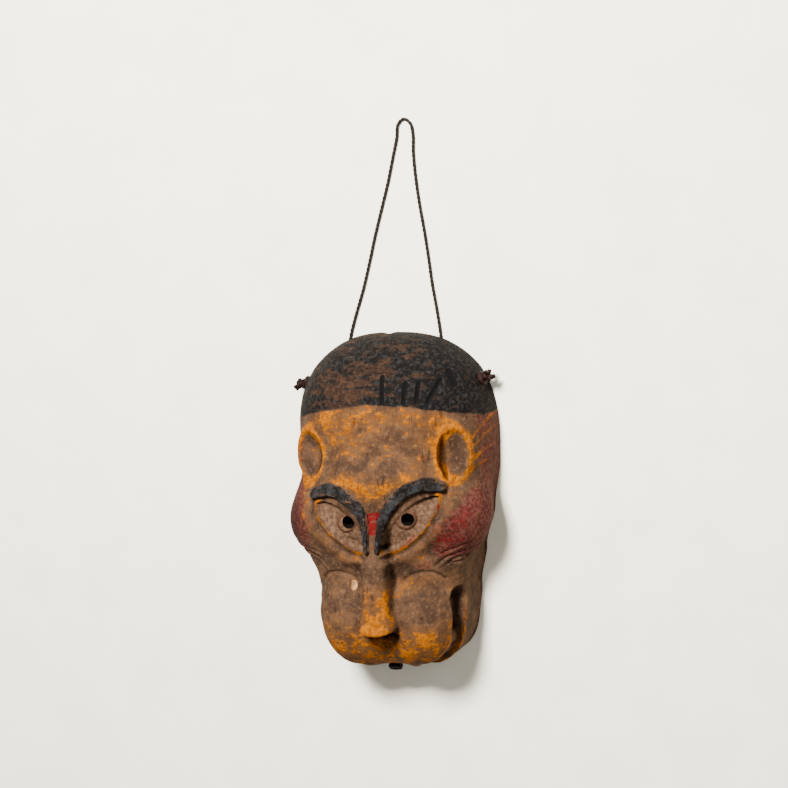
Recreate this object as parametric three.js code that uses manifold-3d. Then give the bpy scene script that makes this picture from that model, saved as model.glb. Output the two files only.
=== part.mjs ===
// Carved and painted wooden dance mask, lying face up on its back rim.
// Millimetres, +Z up from the floor to the face, +Y from the chin to the crown, +X the mask's left.
import * as THREE from 'three';
import { mergeVertices } from 'three/addons/utils/BufferGeometryUtils.js';
import Module from 'manifold-3d';

const wasm = await Module();
wasm.setup();

// The carved block.
const CENTRE = { x: 1.5, y: 4.3 };
const SIDE = { crown: 96.5, brow: 95.5, cheek: 92, fold: 83, mouth: 76, chin: 73 };
const FRONT = { crown: 86, forehead: 93, bridge: 92, cheek: 84, fold: 78, muzzle: 86, chin: 88 };
const CROWN = { start: 70, length: 99, power: 2.4 };
const CHIN = { start: -78, length: 74, power: 3.0 };
const LEAN = { chin: -4, crown: 3, from: -75, to: 75 };
const CHEEKBONE = { at: [66, -4, 46], radii: [35, 38, 36], blend: 16 };
const UNDERCUT = { at: [104, -64, 62], radii: [24, 30, 34], blend: 10 };
const LOBE = { at: [32, -100, 56], radii: [36, 49, 35], blend: 9 };
const LIP_GROOVE = { at: [0, -132, 110], radii: [9, 28, 24], blend: 8 };
const NOSE = { root: 6, tip: -109, rootHalf: 9, tipHalf: 16.5, rootTop: 99, tipTop: 111, round: 9, base: 60 };
const BROW = { half: 5, height: 4.6, line: [[8, -22], [10, -6], [17, 13], [30, 25], [44, 30], [60, 28]] };
const RIDGE = { height: 3, width: 6.5, line: [[14, -41], [32, -36], [52, -22], [68, -2], [76, 22]] };
const SOCKET = { at: [34, -5], tilt: 40, half: [31, 16], depth: 5, ball: 3.2 };
const FOREHEAD = { at: [0, 42], half: [30, 26], height: 4 };
const TEMPLE = { at: [48, 62], half: [13, 26], depth: 3 };
const EAR = { at: [74, 58, 63], radii: [15.5, 27, 9], cup: [11.5, 21, 7], lift: 6.5, turn: 27 };

// The hollow and the openings.
const HOLLOW = { side: 13, muzzleSide: 21, front: 15, crown: 12, chin: 14, power: 2.4, overrun: 6 };
const PUPILS = { at: [[31.6, 1.8], [-28.4, -0.6]], radius: 5.9 };
const ARCH = { half: 82, height: 6, from: 96, to: 190 };
const MOUTH = { line: [[74, -70, 55], [70, -90, 50], [68, -110, 48], [60, -130, 47], [42, -143, 47]], half: [9, 6] };
const STRAP_HOLE = { at: [86.9, 123, 18], along: [0.886, 0.447, 0.115], radius: 3.1 };
const CHIN_HOLE = { at: [-6, -149, 50], along: [0, -1, 0.08], radius: 3.1 };

// Thongs and cord.
const THONG = {
  radius: 2.4, wall: 17.5, lift: 3, wrap: 5.6, wrapTube: 2.3, tail: 2.1, tailLength: 8, knob: 4.6, heart: 4.3,
};
const CHIN_THONG = { half: [8, 4.4, 4.4], wall: 23, lift: 2.4 };
const CORD = { radius: 1.6, sides: 8, steps: 62, knot: [4.2, 4.2, 4.2], knotGap: 0.4 };
const CORD_ROUTE = [
  [55.9, 107.6, 12], [53, 108.4, 8.8], [49.6, 112.4, 5], [48, 120, 2.5], [48, 132, 1.8], [48.6, 146, 1.8],
  [49, 162, 1.8], [47, 188, 1.8], [44.2, 214, 1.8], [42.4, 240, 1.8], [40.2, 266, 1.8], [37.4, 292, 1.8],
  [35.6, 318, 1.8], [35.2, 342, 1.8], [36.2, 358, 1.8], [34.4, 369, 1.8], [28.2, 373.6, 1.8],
  [21.9, 368.4, 1.8], [19.6, 356, 1.8], [14.4, 338, 1.8], [7.4, 314, 1.8], [-1.4, 288, 1.8],
  [-10.2, 262, 1.8], [-18.2, 236, 1.8], [-26.8, 210, 1.8], [-36.4, 185, 1.8], [-43.6, 164, 1.8],
  [-46.4, 147, 1.8], [-46.8, 133, 1.8], [-46.8, 121, 2.5], [-46.8, 112.4, 4.8], [-47.4, 108.4, 8.6],
  [-49.7, 107.6, 12],
];

const DETAIL = { across: 24, along: 36, rise: 5, hollowAcross: 10, hollowAlong: 14, hollowRise: 4, ball: [8, 5] };

const mix = (a, b, t) => a + (b - a) * t;
const clamp = (v, low, high) => Math.min(high, Math.max(low, v));

/** Smooth rise from 0 at a to 1 at b. */
function smooth(v, a, b) {
  const t = clamp((v - a) / (b - a), 0, 1);
  return t * t * (3 - 2 * t);
}

/** A value carried smoothly from station to station along the mask. */
function along(y, stations) {
  let value = stations[0][1];
  for (let i = 1; i < stations.length; i += 1) {
    value += (stations[i][1] - stations[i - 1][1]) * smooth(y, stations[i - 1][0], stations[i][0]);
  }
  return value;
}

/** Union of two distances with a rounded seam. */
function join(a, b, k) {
  const h = clamp(0.5 + (0.5 * (b - a)) / k, 0, 1);
  return mix(b, a, h) - k * h * (1 - h);
}

/** Cut of one distance by another with a rounded edge. */
const cut = (a, b, k) => -join(-a, b, k);

/** Distance-like value of an ellipsoid. */
function ellipsoid(x, y, z, { at, radii }) {
  const q = Math.hypot((x - at[0]) / radii[0], (y - at[1]) / radii[1], (z - at[2]) / radii[2]);
  return (q - 1) * Math.min(...radii);
}

/** Distance in plan from a point to a smooth line through given points. */
function lineDistance(x, y, line) {
  let best = 1e9;
  for (let i = 1; i < line.length; i += 1) {
    const [ax, ay] = line[i - 1];
    const [dx, dy] = [line[i][0] - ax, line[i][1] - ay];
    const t = clamp(((x - ax) * dx + (y - ay) * dy) / (dx * dx + dy * dy), 0, 1);
    best = Math.min(best, Math.hypot(x - ax - t * dx, y - ay - t * dy));
  }
  return best;
}

/** The same line with more points on it. */
function smoothLine(line) {
  const curve = new THREE.CatmullRomCurve3(line.map(([x, y]) => new THREE.Vector3(x, y, 0)));
  return curve.getPoints(24).map((p) => [p.x, p.y]);
}

const RIDGE_LINE = smoothLine(RIDGE.line);
const bump = (d, width) => Math.exp(-((d / width) ** 2));
const leanAt = (y) => mix(LEAN.chin, LEAN.crown, smooth(y, LEAN.from, LEAN.to));

/** The block's squarish dome: negative inside, roughly in millimetres. */
function block(x, y, z) {
  const width = along(y, [[-110, SIDE.chin], [-81, SIDE.mouth], [-43, SIDE.fold], [-3, SIDE.cheek],
    [44, SIDE.brow], [80, SIDE.crown]]);
  const depth = along(y, [[-150, FRONT.chin], [-97, FRONT.muzzle], [-62, FRONT.fold], [-38, FRONT.cheek],
    [-4, FRONT.bridge], [30, FRONT.forehead], [75, FRONT.crown]]);
  const power = along(y, [[-110, 4.2], [-55, 3.6], [-15, 2.6], [40, 2.5]]);
  const ends = (Math.max(y - CROWN.start, 0) / CROWN.length) ** CROWN.power
    + (Math.max(CHIN.start - y, 0) / CHIN.length) ** CHIN.power;
  const sum = (x / width) ** power + (Math.max(z, 0) / depth) ** power + ends;
  return (sum ** (1 / power) - 1) * 72;
}

/** Raised and sunk carving of the face, measured out of the surface. */
function carving(x, y) {
  const turn = THREE.MathUtils.degToRad(SOCKET.tilt);
  const [dx, dy] = [x - SOCKET.at[0], y - SOCKET.at[1]];
  const ex = dx * Math.cos(turn) + dy * Math.sin(turn);
  const ey = dy * Math.cos(turn) - dx * Math.sin(turn);
  const e = Math.hypot(ex / SOCKET.half[0], ey / SOCKET.half[1]);
  const ball = SOCKET.ball * bump(Math.hypot(ex + 1, ey - 1), 12) * (1 - smooth(e, 0.7, 1));
  const [fx, fy] = [x / FOREHEAD.half[0], (y - FOREHEAD.at[1]) / FOREHEAD.half[1]];
  const [tx, ty] = [(x - TEMPLE.at[0]) / TEMPLE.half[0], (y - TEMPLE.at[1]) / TEMPLE.half[1]];
  return RIDGE.height * bump(lineDistance(x, y, RIDGE_LINE), RIDGE.width)
    - SOCKET.depth * (1 - smooth(e, 0.7, 1.25)) + ball
    + FOREHEAD.height * bump(Math.hypot(fx, fy), 1)
    - TEMPLE.depth * bump(Math.hypot(tx, ty), 1);
}

/** The outside of the mask before the nose, brows and ears are set on it. */
function outside(px, y, z) {
  const x = Math.abs(px - leanAt(y));
  let f = join(block(x, y, z), ellipsoid(x, y, z, CHEEKBONE), CHEEKBONE.blend);
  f = cut(f, ellipsoid(x, y, z, UNDERCUT), UNDERCUT.blend);
  f = join(f, ellipsoid(x, y, z, LOBE), LOBE.blend);
  f = cut(f, ellipsoid(x, y, z, LIP_GROOVE), LIP_GROOVE.blend);
  return f - carving(x, y) * smooth(z, 35, 55);
}

/** The scooped-out inside. */
function inside(px, y, z) {
  const x = Math.abs(px - leanAt(y));
  const width = along(y, [[-120, SIDE.chin - HOLLOW.muzzleSide], [-60, SIDE.mouth - HOLLOW.muzzleSide],
    [-20, SIDE.cheek - HOLLOW.side], [60, SIDE.crown - HOLLOW.side]]);
  const depth = along(y, [[-110, FRONT.muzzle - HOLLOW.front], [-60, FRONT.fold - HOLLOW.front],
    [0, FRONT.bridge - HOLLOW.front - 4], [60, FRONT.crown - HOLLOW.front]]);
  const ends = (Math.max(y - CROWN.start, 0) / (CROWN.length - HOLLOW.crown)) ** CROWN.power
    + (Math.max(CHIN.start - y, 0) / (CHIN.length - HOLLOW.chin)) ** CHIN.power;
  const sum = (x / width) ** HOLLOW.power + (Math.max(z, 0) / depth) ** HOLLOW.power + ends;
  return (sum ** (1 / HOLLOW.power) - 1) * 60;
}

/** A box whose skin is pushed out along rays until it meets a form standing on the floor. */
function carvedBox(form, across, length, rise, drop) {
  const geometry = new THREE.BoxGeometry(2, 2, 1, across, length, rise);
  const place = geometry.attributes.position;
  const start = new THREE.Vector3();
  const ray = new THREE.Vector3();
  for (let i = 0; i < place.count; i += 1) {
    const [u, v, w] = [place.getX(i), place.getY(i), place.getZ(i) + 0.5];
    start.set(0, v * 93 + 6, 0);
    const reach = w === 0 ? Math.max(Math.abs(u), Math.abs(v)) : 1;
    const [ru, rv] = w === 0 && reach > 0 ? [u / reach, v / reach] : [u, v];
    start.y = rv * 93 + 6;
    ray.set(ru * 100, rv * 158 + 8 - start.y, w * 90).normalize();
    let [near, far] = [0, 190];
    for (let t = 190; t > 0; t -= 4) {
      if (form(start.x + ray.x * t, start.y + ray.y * t, ray.z * t) < 0) {
        [near, far] = [t, t + 4];
        break;
      }
    }
    for (let step = 0; step < 14; step += 1) {
      const half = (near + far) / 2;
      const within = form(start.x + ray.x * half, start.y + ray.y * half, ray.z * half) < 0;
      [near, far] = within ? [half, far] : [near, half];
    }
    const skin = start.clone().addScaledVector(ray, near);
    if (w === 0) {
      skin.set(skin.x * reach, mix(6, skin.y, reach), -drop);
    }
    place.setXYZ(i, skin.x, skin.y, skin.z);
  }
  return geometry;
}

/** Closed geometry as a solid that can be joined and cut. */
function solid(geometry) {
  const bare = new THREE.BufferGeometry();
  bare.setAttribute('position', geometry.attributes.position);
  bare.setIndex(geometry.index);
  const merged = mergeVertices(bare, 1e-4);
  return new wasm.Manifold(new wasm.Mesh({
    numProp: 3,
    vertProperties: new Float32Array(merged.attributes.position.array),
    triVerts: new Uint32Array(merged.index.array),
  }));
}

/** Solid back to a plain geometry, moved to the part's origin. */
function geometryOf(body) {
  const mesh = body.getMesh();
  const geometry = new THREE.BufferGeometry();
  geometry.setAttribute('position', new THREE.BufferAttribute(new Float32Array(mesh.vertProperties), 3));
  geometry.setIndex(new THREE.BufferAttribute(new Uint32Array(mesh.triVerts), 1));
  geometry.translate(-CENTRE.x, -CENTRE.y, 0);
  const flat = geometry.toNonIndexed();
  flat.computeVertexNormals();
  return flat;
}

/** Turn and move a geometry so its own Y axis runs along a direction. */
function aim(geometry, direction, at) {
  const turn = new THREE.Quaternion();
  turn.setFromUnitVectors(new THREE.Vector3(0, 1, 0), new THREE.Vector3(...direction).normalize());
  geometry.applyQuaternion(turn);
  geometry.translate(...at);
  return geometry;
}

/** Point at a distance along a direction from another point. */
function offset(at, direction, distance) {
  const unit = new THREE.Vector3(...direction).normalize();
  return new THREE.Vector3(...at).addScaledVector(unit, distance).toArray();
}

/** The strap hole at one temple. */
function strapHole(side) {
  const [x, y, z] = STRAP_HOLE.at;
  const [ax, ay, az] = STRAP_HOLE.along;
  return { at: [x * side + leanAt(y), y, z], along: [ax * side, ay, az], radius: STRAP_HOLE.radius };
}

/** A drill through the wall at a strap hole. */
function drill(hole) {
  const rod = new THREE.CylinderGeometry(hole.radius, hole.radius, 60, 12);
  return solid(aim(rod, hole.along, hole.at));
}

/** Height of the face over a point in plan. */
function heightAt(x, y) {
  let [low, high] = [20, 130];
  for (let step = 0; step < 20; step += 1) {
    const z = (low + high) / 2;
    [low, high] = outside(x, y, z) < 0 ? [z, high] : [low, z];
  }
  return low;
}

/** An oval section carried along a smooth line in space. */
function sweep(points, across, deep, steps, sides) {
  const outline = new THREE.Shape();
  outline.absellipse(0, 0, across, deep, 0, Math.PI * 2);
  const path = new THREE.CatmullRomCurve3(points.map((p) => new THREE.Vector3(...p)));
  return new THREE.ExtrudeGeometry(outline, {
    steps, extrudePath: path, curveSegments: sides / 2, bevelEnabled: false,
  });
}

/** The mouth recess on one side. */
function mouthCut(side) {
  const line = MOUTH.line.map(([x, y, z]) => [x * side + leanAt(y), y, z]);
  return solid(sweep(line, MOUTH.half[0], MOUTH.half[1], 9, 10));
}

/** A thick brow laid on the face. */
function brow(side) {
  const line = BROW.line.map(([x, y]) => [x * side + leanAt(y), y]);
  return solid(sweep(line.map(([x, y]) => [x, y, heightAt(x, y)]), BROW.height, BROW.half, 15, 8));
}

/** A small oval ear, its cup cut separately. */
function earPiece(radii, lift, side) {
  const oval = new THREE.SphereGeometry(1, 16, 9);
  oval.scale(...radii);
  oval.translate(0, 0, lift);
  oval.rotateY(THREE.MathUtils.degToRad(EAR.turn) * side);
  oval.translate(EAR.at[0] * side + leanAt(EAR.at[1]), EAR.at[1], EAR.at[2]);
  return solid(oval);
}

/** The long trunk of a nose: a bar that widens and rises to the tip, round on top. */
function nose() {
  const bar = new THREE.BoxGeometry(2, 1, 1, 8, 8, 2);
  const place = bar.attributes.position;
  for (let i = 0; i < place.count; i += 1) {
    const [u, run, w] = [place.getX(i), 0.5 - place.getY(i), place.getZ(i) + 0.5];
    const half = mix(NOSE.rootHalf, NOSE.tipHalf, run) * (1.25 - 0.25 * w);
    const top = mix(NOSE.rootTop, NOSE.tipTop, run) - NOSE.round * u ** 4 - 14 * (1 - smooth(run, 0, 0.16));
    const y = mix(NOSE.root, NOSE.tip, run);
    place.setXYZ(i, u * half + leanAt(y), y, mix(NOSE.base, top, w));
  }
  return solid(bar);
}

/** The mask itself, one piece of wood. */
function maskBody() {
  const adds = [solid(carvedBox(outside, DETAIL.across, DETAIL.along, DETAIL.rise, 0)), nose()];
  const cutters = [
    solid(carvedBox(inside, DETAIL.hollowAcross, DETAIL.hollowAlong, DETAIL.hollowRise, HOLLOW.overrun)),
  ];
  const arch = new THREE.CylinderGeometry(1, 1, ARCH.to - ARCH.from, 40);
  arch.scale(ARCH.half, 1, ARCH.height);
  arch.translate(LEAN.crown, (ARCH.from + ARCH.to) / 2, 0);
  cutters.push(solid(arch));
  for (const [x, y] of PUPILS.at) {
    const pupil = new THREE.CylinderGeometry(PUPILS.radius, PUPILS.radius, 80, 20);
    pupil.rotateX(Math.PI / 2);
    pupil.translate(x, y, 80);
    cutters.push(solid(pupil));
  }
  for (const side of [-1, 1]) {
    adds.push(brow(side), earPiece(EAR.radii, 0, side));
    cutters.push(drill(strapHole(side)), mouthCut(side), earPiece(EAR.cup, EAR.lift, side));
  }
  cutters.push(drill(CHIN_HOLE));
  return wasm.Manifold.union(adds).subtract(wasm.Manifold.union(cutters));
}

/** A leather thong: wrapped knot and curled tails outside, stem in the hole, round knot inside. */
function thongBody(side) {
  const { along: out, at } = strapHole(side);
  const stem = new THREE.CylinderGeometry(THONG.radius, THONG.radius, THONG.wall + 9, 8);
  const bodies = [solid(aim(stem, out, offset(at, out, -THONG.wall / 2)))];
  const wrap = new THREE.TorusGeometry(THONG.wrap - THONG.wrapTube, THONG.wrapTube, 5, 10);
  wrap.rotateX(Math.PI / 2);
  bodies.push(solid(aim(wrap, out, offset(at, out, THONG.wrapTube + THONG.lift))));
  const heart = new THREE.SphereGeometry(THONG.heart, ...DETAIL.ball);
  bodies.push(solid(aim(heart, out, offset(at, out, 4.4 + THONG.lift))));
  const tails = 4;
  for (let i = 0; i < tails; i += 1) {
    const turn = (Math.PI * 2 * i) / tails + 0.5;
    const tail = new THREE.CapsuleGeometry(THONG.tail, THONG.tailLength, 1, 5);
    tail.translate(0, THONG.tailLength / 2, 0);
    tail.rotateZ(0.62);
    tail.rotateY(turn);
    bodies.push(solid(aim(tail, out, offset(at, out, 7))));
  }
  const knob = new THREE.SphereGeometry(THONG.knob, ...DETAIL.ball);
  bodies.push(solid(aim(knob, out, offset(at, out, -THONG.wall - 6))));
  return wasm.Manifold.union(bodies);
}

/** The short black thong under the chin. */
function chinThongBody() {
  const out = CHIN_HOLE.along;
  const stem = new THREE.CylinderGeometry(THONG.radius, THONG.radius, CHIN_THONG.wall + 8, 8);
  const knot = new THREE.SphereGeometry(1, 12, 8);
  knot.scale(CHIN_THONG.half[0], CHIN_THONG.half[1], CHIN_THONG.half[2]);
  const knob = new THREE.SphereGeometry(THONG.knob, ...DETAIL.ball);
  return wasm.Manifold.union([
    solid(aim(stem, out, offset(CHIN_HOLE.at, out, -CHIN_THONG.wall / 2))),
    solid(aim(knot, out, offset(CHIN_HOLE.at, out, CHIN_THONG.half[1] + CHIN_THONG.lift))),
    solid(aim(knob, out, offset(CHIN_HOLE.at, out, -CHIN_THONG.wall - 6))),
  ]);
}

/** The cord's knot against the inner end of a temple thong. */
function cordKnotBody(side) {
  const { along: out, at } = strapHole(side);
  const knot = new THREE.SphereGeometry(1, ...DETAIL.ball);
  knot.scale(...CORD.knot);
  const reach = THONG.wall + 6 + THONG.knob + CORD.knotGap + CORD.knot[1];
  return solid(aim(knot, out, offset(at, out, -reach)));
}

/** The hanging cord, laid out on the floor past the crown. */
function cordBody() {
  return solid(sweep(CORD_ROUTE, CORD.radius, CORD.radius, CORD.steps, CORD.sides));
}

const part = new THREE.Group();
part.name = 'carved_dance_mask';

/** Add one named piece with its own colour. */
function add(name, body, colour, roughness) {
  const material = new THREE.MeshStandardMaterial({ color: colour, roughness, metalness: 0 });
  const mesh = new THREE.Mesh(geometryOf(body), material);
  mesh.name = name;
  part.add(mesh);
}

add('mask', maskBody(), 0x8a6240, 0.7);
add('left_tie', thongBody(1), 0x4a1f16, 0.6);
add('right_tie', thongBody(-1), 0x4a1f16, 0.6);
add('chin_tie', chinThongBody(), 0x17110f, 0.5);

add('hanging_cord', cordBody(), 0x2a211d, 0.85);
add('cord_knot_left', cordKnotBody(1), 0x2a211d, 0.85);
add('cord_knot_right', cordKnotBody(-1), 0x2a211d, 0.85);

export default part;
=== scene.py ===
"""Looks of a carved and painted wooden dance mask, lying face up on its back rim.

Sizes are in millimetres, in the carver's own measure: X towards the mask's left, Y from the chin to
the crown, Z out of the face. Meshes are written in metres, about the part's origin.
"""

import itertools
import logging
import math
from dataclasses import dataclass
from enum import Enum
from typing import Callable, Sequence

import bpy
import numpy as np
from mathutils import Matrix, Vector

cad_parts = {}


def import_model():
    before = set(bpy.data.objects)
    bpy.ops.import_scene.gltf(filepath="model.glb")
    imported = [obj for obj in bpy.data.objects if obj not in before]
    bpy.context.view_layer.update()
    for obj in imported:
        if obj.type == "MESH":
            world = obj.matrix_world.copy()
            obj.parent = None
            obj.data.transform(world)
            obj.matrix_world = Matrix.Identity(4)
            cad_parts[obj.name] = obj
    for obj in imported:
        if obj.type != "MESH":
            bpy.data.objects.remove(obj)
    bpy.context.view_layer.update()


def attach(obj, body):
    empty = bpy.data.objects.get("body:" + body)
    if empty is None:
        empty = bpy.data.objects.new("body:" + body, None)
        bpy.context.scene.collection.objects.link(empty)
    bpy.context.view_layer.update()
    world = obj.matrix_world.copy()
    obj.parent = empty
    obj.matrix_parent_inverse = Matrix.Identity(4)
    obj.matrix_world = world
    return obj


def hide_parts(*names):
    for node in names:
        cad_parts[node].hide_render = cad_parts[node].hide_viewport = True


log = logging.getLogger("dance_mask")

Point = tuple[float, float]
Place = tuple[float, float, float]
MM = 0.001
CENTRE = np.array([1.5, 4.3, 0.0])  # the part's origin, in carver's millimetres
CORE_HALF = 93.0  # grid points are pushed out from a line on the floor, from chin to crown
CORE_MIDDLE = 6.0
HASH = (374761393, 668265263, 2147483647, 1274126177)  # large odd numbers that scramble a cell's place
ALONG_GRAIN = np.array([[1.0], [0.7], [1.0]])  # tool marks are a little longer along the face
ALONG_GOUGE = np.array([[1.0], [0.45], [1.0]])

PUPILS: Sequence[Point] = ((31.6, 1.8), (-28.4, -0.6))
STRAP_HOLE: Place = (86.9, 123.0, 18.0)  # on the left; the right one is its mirror image
STRAP_ALONG: Place = (0.886, 0.447, 0.115)
CHIN_HOLE: Place = (-6.0, -149.0, 50.0)
CHIN_ALONG: Place = (0.0, -1.0, 0.08)

# Straight strokes, each from its first end to its second, across and along.
HAIR_CUTS = ((9, 114, 8, 136), (30, 113, 31, 130), (42, 113, 43, 130), (52, 112, 61, 130), (66, 137, 73, 125))
EAR_STROKES = ((86, 72, 99, 92), (89, 66, 100, 80), (88, 54, 98, 62), (84, 42, 94, 48))


class Side(Enum):
    """The mask's own left and right."""

    LEFT = 1
    RIGHT = -1


# ---------------------------------------------------------------- numbers on arrays


def ease(v: np.ndarray, low: float, high: float) -> np.ndarray:
    """Rise smoothly from 0 at low to 1 at high."""
    t = np.clip((v - low) / (high - low), 0.0, 1.0)
    return t * t * (3.0 - 2.0 * t)


def bump(d: np.ndarray, width: float) -> np.ndarray:
    """Round swelling of height 1 about zero distance."""
    return np.exp(-((d / width) ** 2))


def dab(x: np.ndarray, y: np.ndarray, at: Point, size: Point) -> np.ndarray:
    """Round swelling of height 1 about a place in plan."""
    return bump(np.hypot((x - at[0]) / size[0], (y - at[1]) / size[1]), 1.0)


def stations(y: np.ndarray, marks: Sequence[Point]) -> np.ndarray:
    """Carry a value smoothly from mark to mark along the mask.

    Args:
        y: Places along the mask.
        marks: Pairs of place and value, from the chin up.

    Returns:
        The value at each place.
    """
    value = np.full_like(y, marks[0][1])
    for (y0, v0), (y1, v1) in zip(marks[:-1], marks[1:]):
        value = value + (v1 - v0) * ease(y, y0, y1)
    return value


def join(a: np.ndarray, b: np.ndarray, k: float) -> np.ndarray:
    """Union of two distances with a rounded seam of size k."""
    h = np.clip(0.5 + 0.5 * (b - a) / k, 0.0, 1.0)
    return b * (1.0 - h) + a * h - k * h * (1.0 - h)


def cut(a: np.ndarray, b: np.ndarray, k: float) -> np.ndarray:
    """Cut distance a by distance b with a rounded edge of size k."""
    return -join(-a, b, k)


def smooth_line(points: Sequence[Point], steps: int = 6) -> np.ndarray:
    """Draw a smooth line through a few points in plan.

    Args:
        points: The points that the line passes.
        steps: How many pieces each span is drawn with.

    Returns:
        The line's points, one to a row.
    """
    p = np.array(points, float)
    p = np.vstack([2 * p[0] - p[1], p, 2 * p[-1] - p[-2]])
    rows = []
    for i in range(1, len(p) - 2):
        a, b, c, d = p[i - 1 : i + 3]
        for t in np.arange(steps) / steps:
            bend = (2 * a - 5 * b + 4 * c - d) * t * t + (-a + 3 * b - 3 * c + d) * t**3
            rows.append(0.5 * (2 * b + (c - a) * t + bend))
    rows.append(p[-2])
    return np.array(rows)


def line_distance(x: np.ndarray, y: np.ndarray, line: np.ndarray) -> tuple[np.ndarray, np.ndarray]:
    """Measure how far places in plan lie from a line.

    Args:
        x: Places across.
        y: Places along.
        line: The line's points.

    Returns:
        The distance, and how far along the line the nearest point is, from 0 to 1.
    """
    best = np.full(x.shape, 1e9)
    run = np.zeros(x.shape)
    lengths = np.hypot(*np.diff(line, axis=0).T)
    total = lengths.sum()
    walked = 0.0
    for (ax, ay), (bx, by), length in zip(line[:-1], line[1:], lengths):
        t = np.clip(((x - ax) * (bx - ax) + (y - ay) * (by - ay)) / length**2, 0.0, 1.0)
        d = np.hypot(x - ax - t * (bx - ax), y - ay - t * (by - ay))
        nearer = d < best
        best = np.where(nearer, d, best)
        run = np.where(nearer, (walked + t * length) / total, run)
        walked += length
    return best, run


def stroke_distance(x: np.ndarray, y: np.ndarray, ends: Sequence[float]) -> tuple[np.ndarray, np.ndarray]:
    """Distance from a straight stroke, and how far along it, for its two ends in plan."""
    return line_distance(x, y, np.array(ends, float).reshape(2, 2))


def lattice_noise(p: np.ndarray, size: float, seed: int) -> np.ndarray:
    """Smooth random field from -1 to 1.

    Args:
        p: Points, one to a column.
        size: How far apart its swellings are.
        seed: Picks the field.

    Returns:
        The field's value at each point.
    """
    q = p / size + seed * 17.31
    cell = np.floor(q).astype(np.int64)
    f = q - cell
    f = f * f * (3.0 - 2.0 * f)
    value = np.zeros(p.shape[1])
    for corner in itertools.product((0, 1), repeat=3):
        h = sum((cell[k] + step) * HASH[k] for k, step in enumerate(corner))
        h = (h ^ (h >> 13)) * HASH[3]
        h = ((h ^ (h >> 16)) & 0xFFFF) / 32767.5 - 1.0
        wx, wy, wz = (f[k] if step else 1.0 - f[k] for k, step in enumerate(corner))
        value += h * wx * wy * wz
    return value


# ---------------------------------------------------------------- the carved form


@dataclass(frozen=True)
class Ball:
    """An ellipsoid that is joined to the block or cut out of it, the same on both sides."""

    at: Place
    radii: Place
    blend: float
    turn: float = 0.0

    def distance(self, x: np.ndarray, y: np.ndarray, z: np.ndarray) -> np.ndarray:
        """Rough distance in millimetres, negative inside."""
        dx, dy, dz = x - self.at[0], y - self.at[1], z - self.at[2]
        if self.turn:
            c, s = math.cos(math.radians(self.turn)), math.sin(math.radians(self.turn))
            dx, dz = dx * c - dz * s, dx * s + dz * c
        q = np.sqrt((dx / self.radii[0]) ** 2 + (dy / self.radii[1]) ** 2 + (dz / self.radii[2]) ** 2)
        return (q - 1.0) * min(self.radii)


class FaceLines:
    """The lines that the face is carved along, for one side."""

    brow = smooth_line([(5.5, -26), (8, -8), (14, 11), (28, 26), (46, 33), (64, 29)])
    lid = smooth_line([(10, -30), (22, -27.5), (34, -20), (46, -9), (56, 5), (60.5, 19)])
    ridge = smooth_line([(14, -41), (32, -37), (52, -23), (68, -3), (76, 24)])
    lobe = smooth_line([(19, -76), (21, -65), (27, -57), (38, -52.5), (52, -53), (62, -60)])
    fold = smooth_line([(54, -47), (64, -39), (78, -34), (97, -28)])
    nostril = smooth_line([(20, -74), (20.5, -94), (21, -112)])


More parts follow.
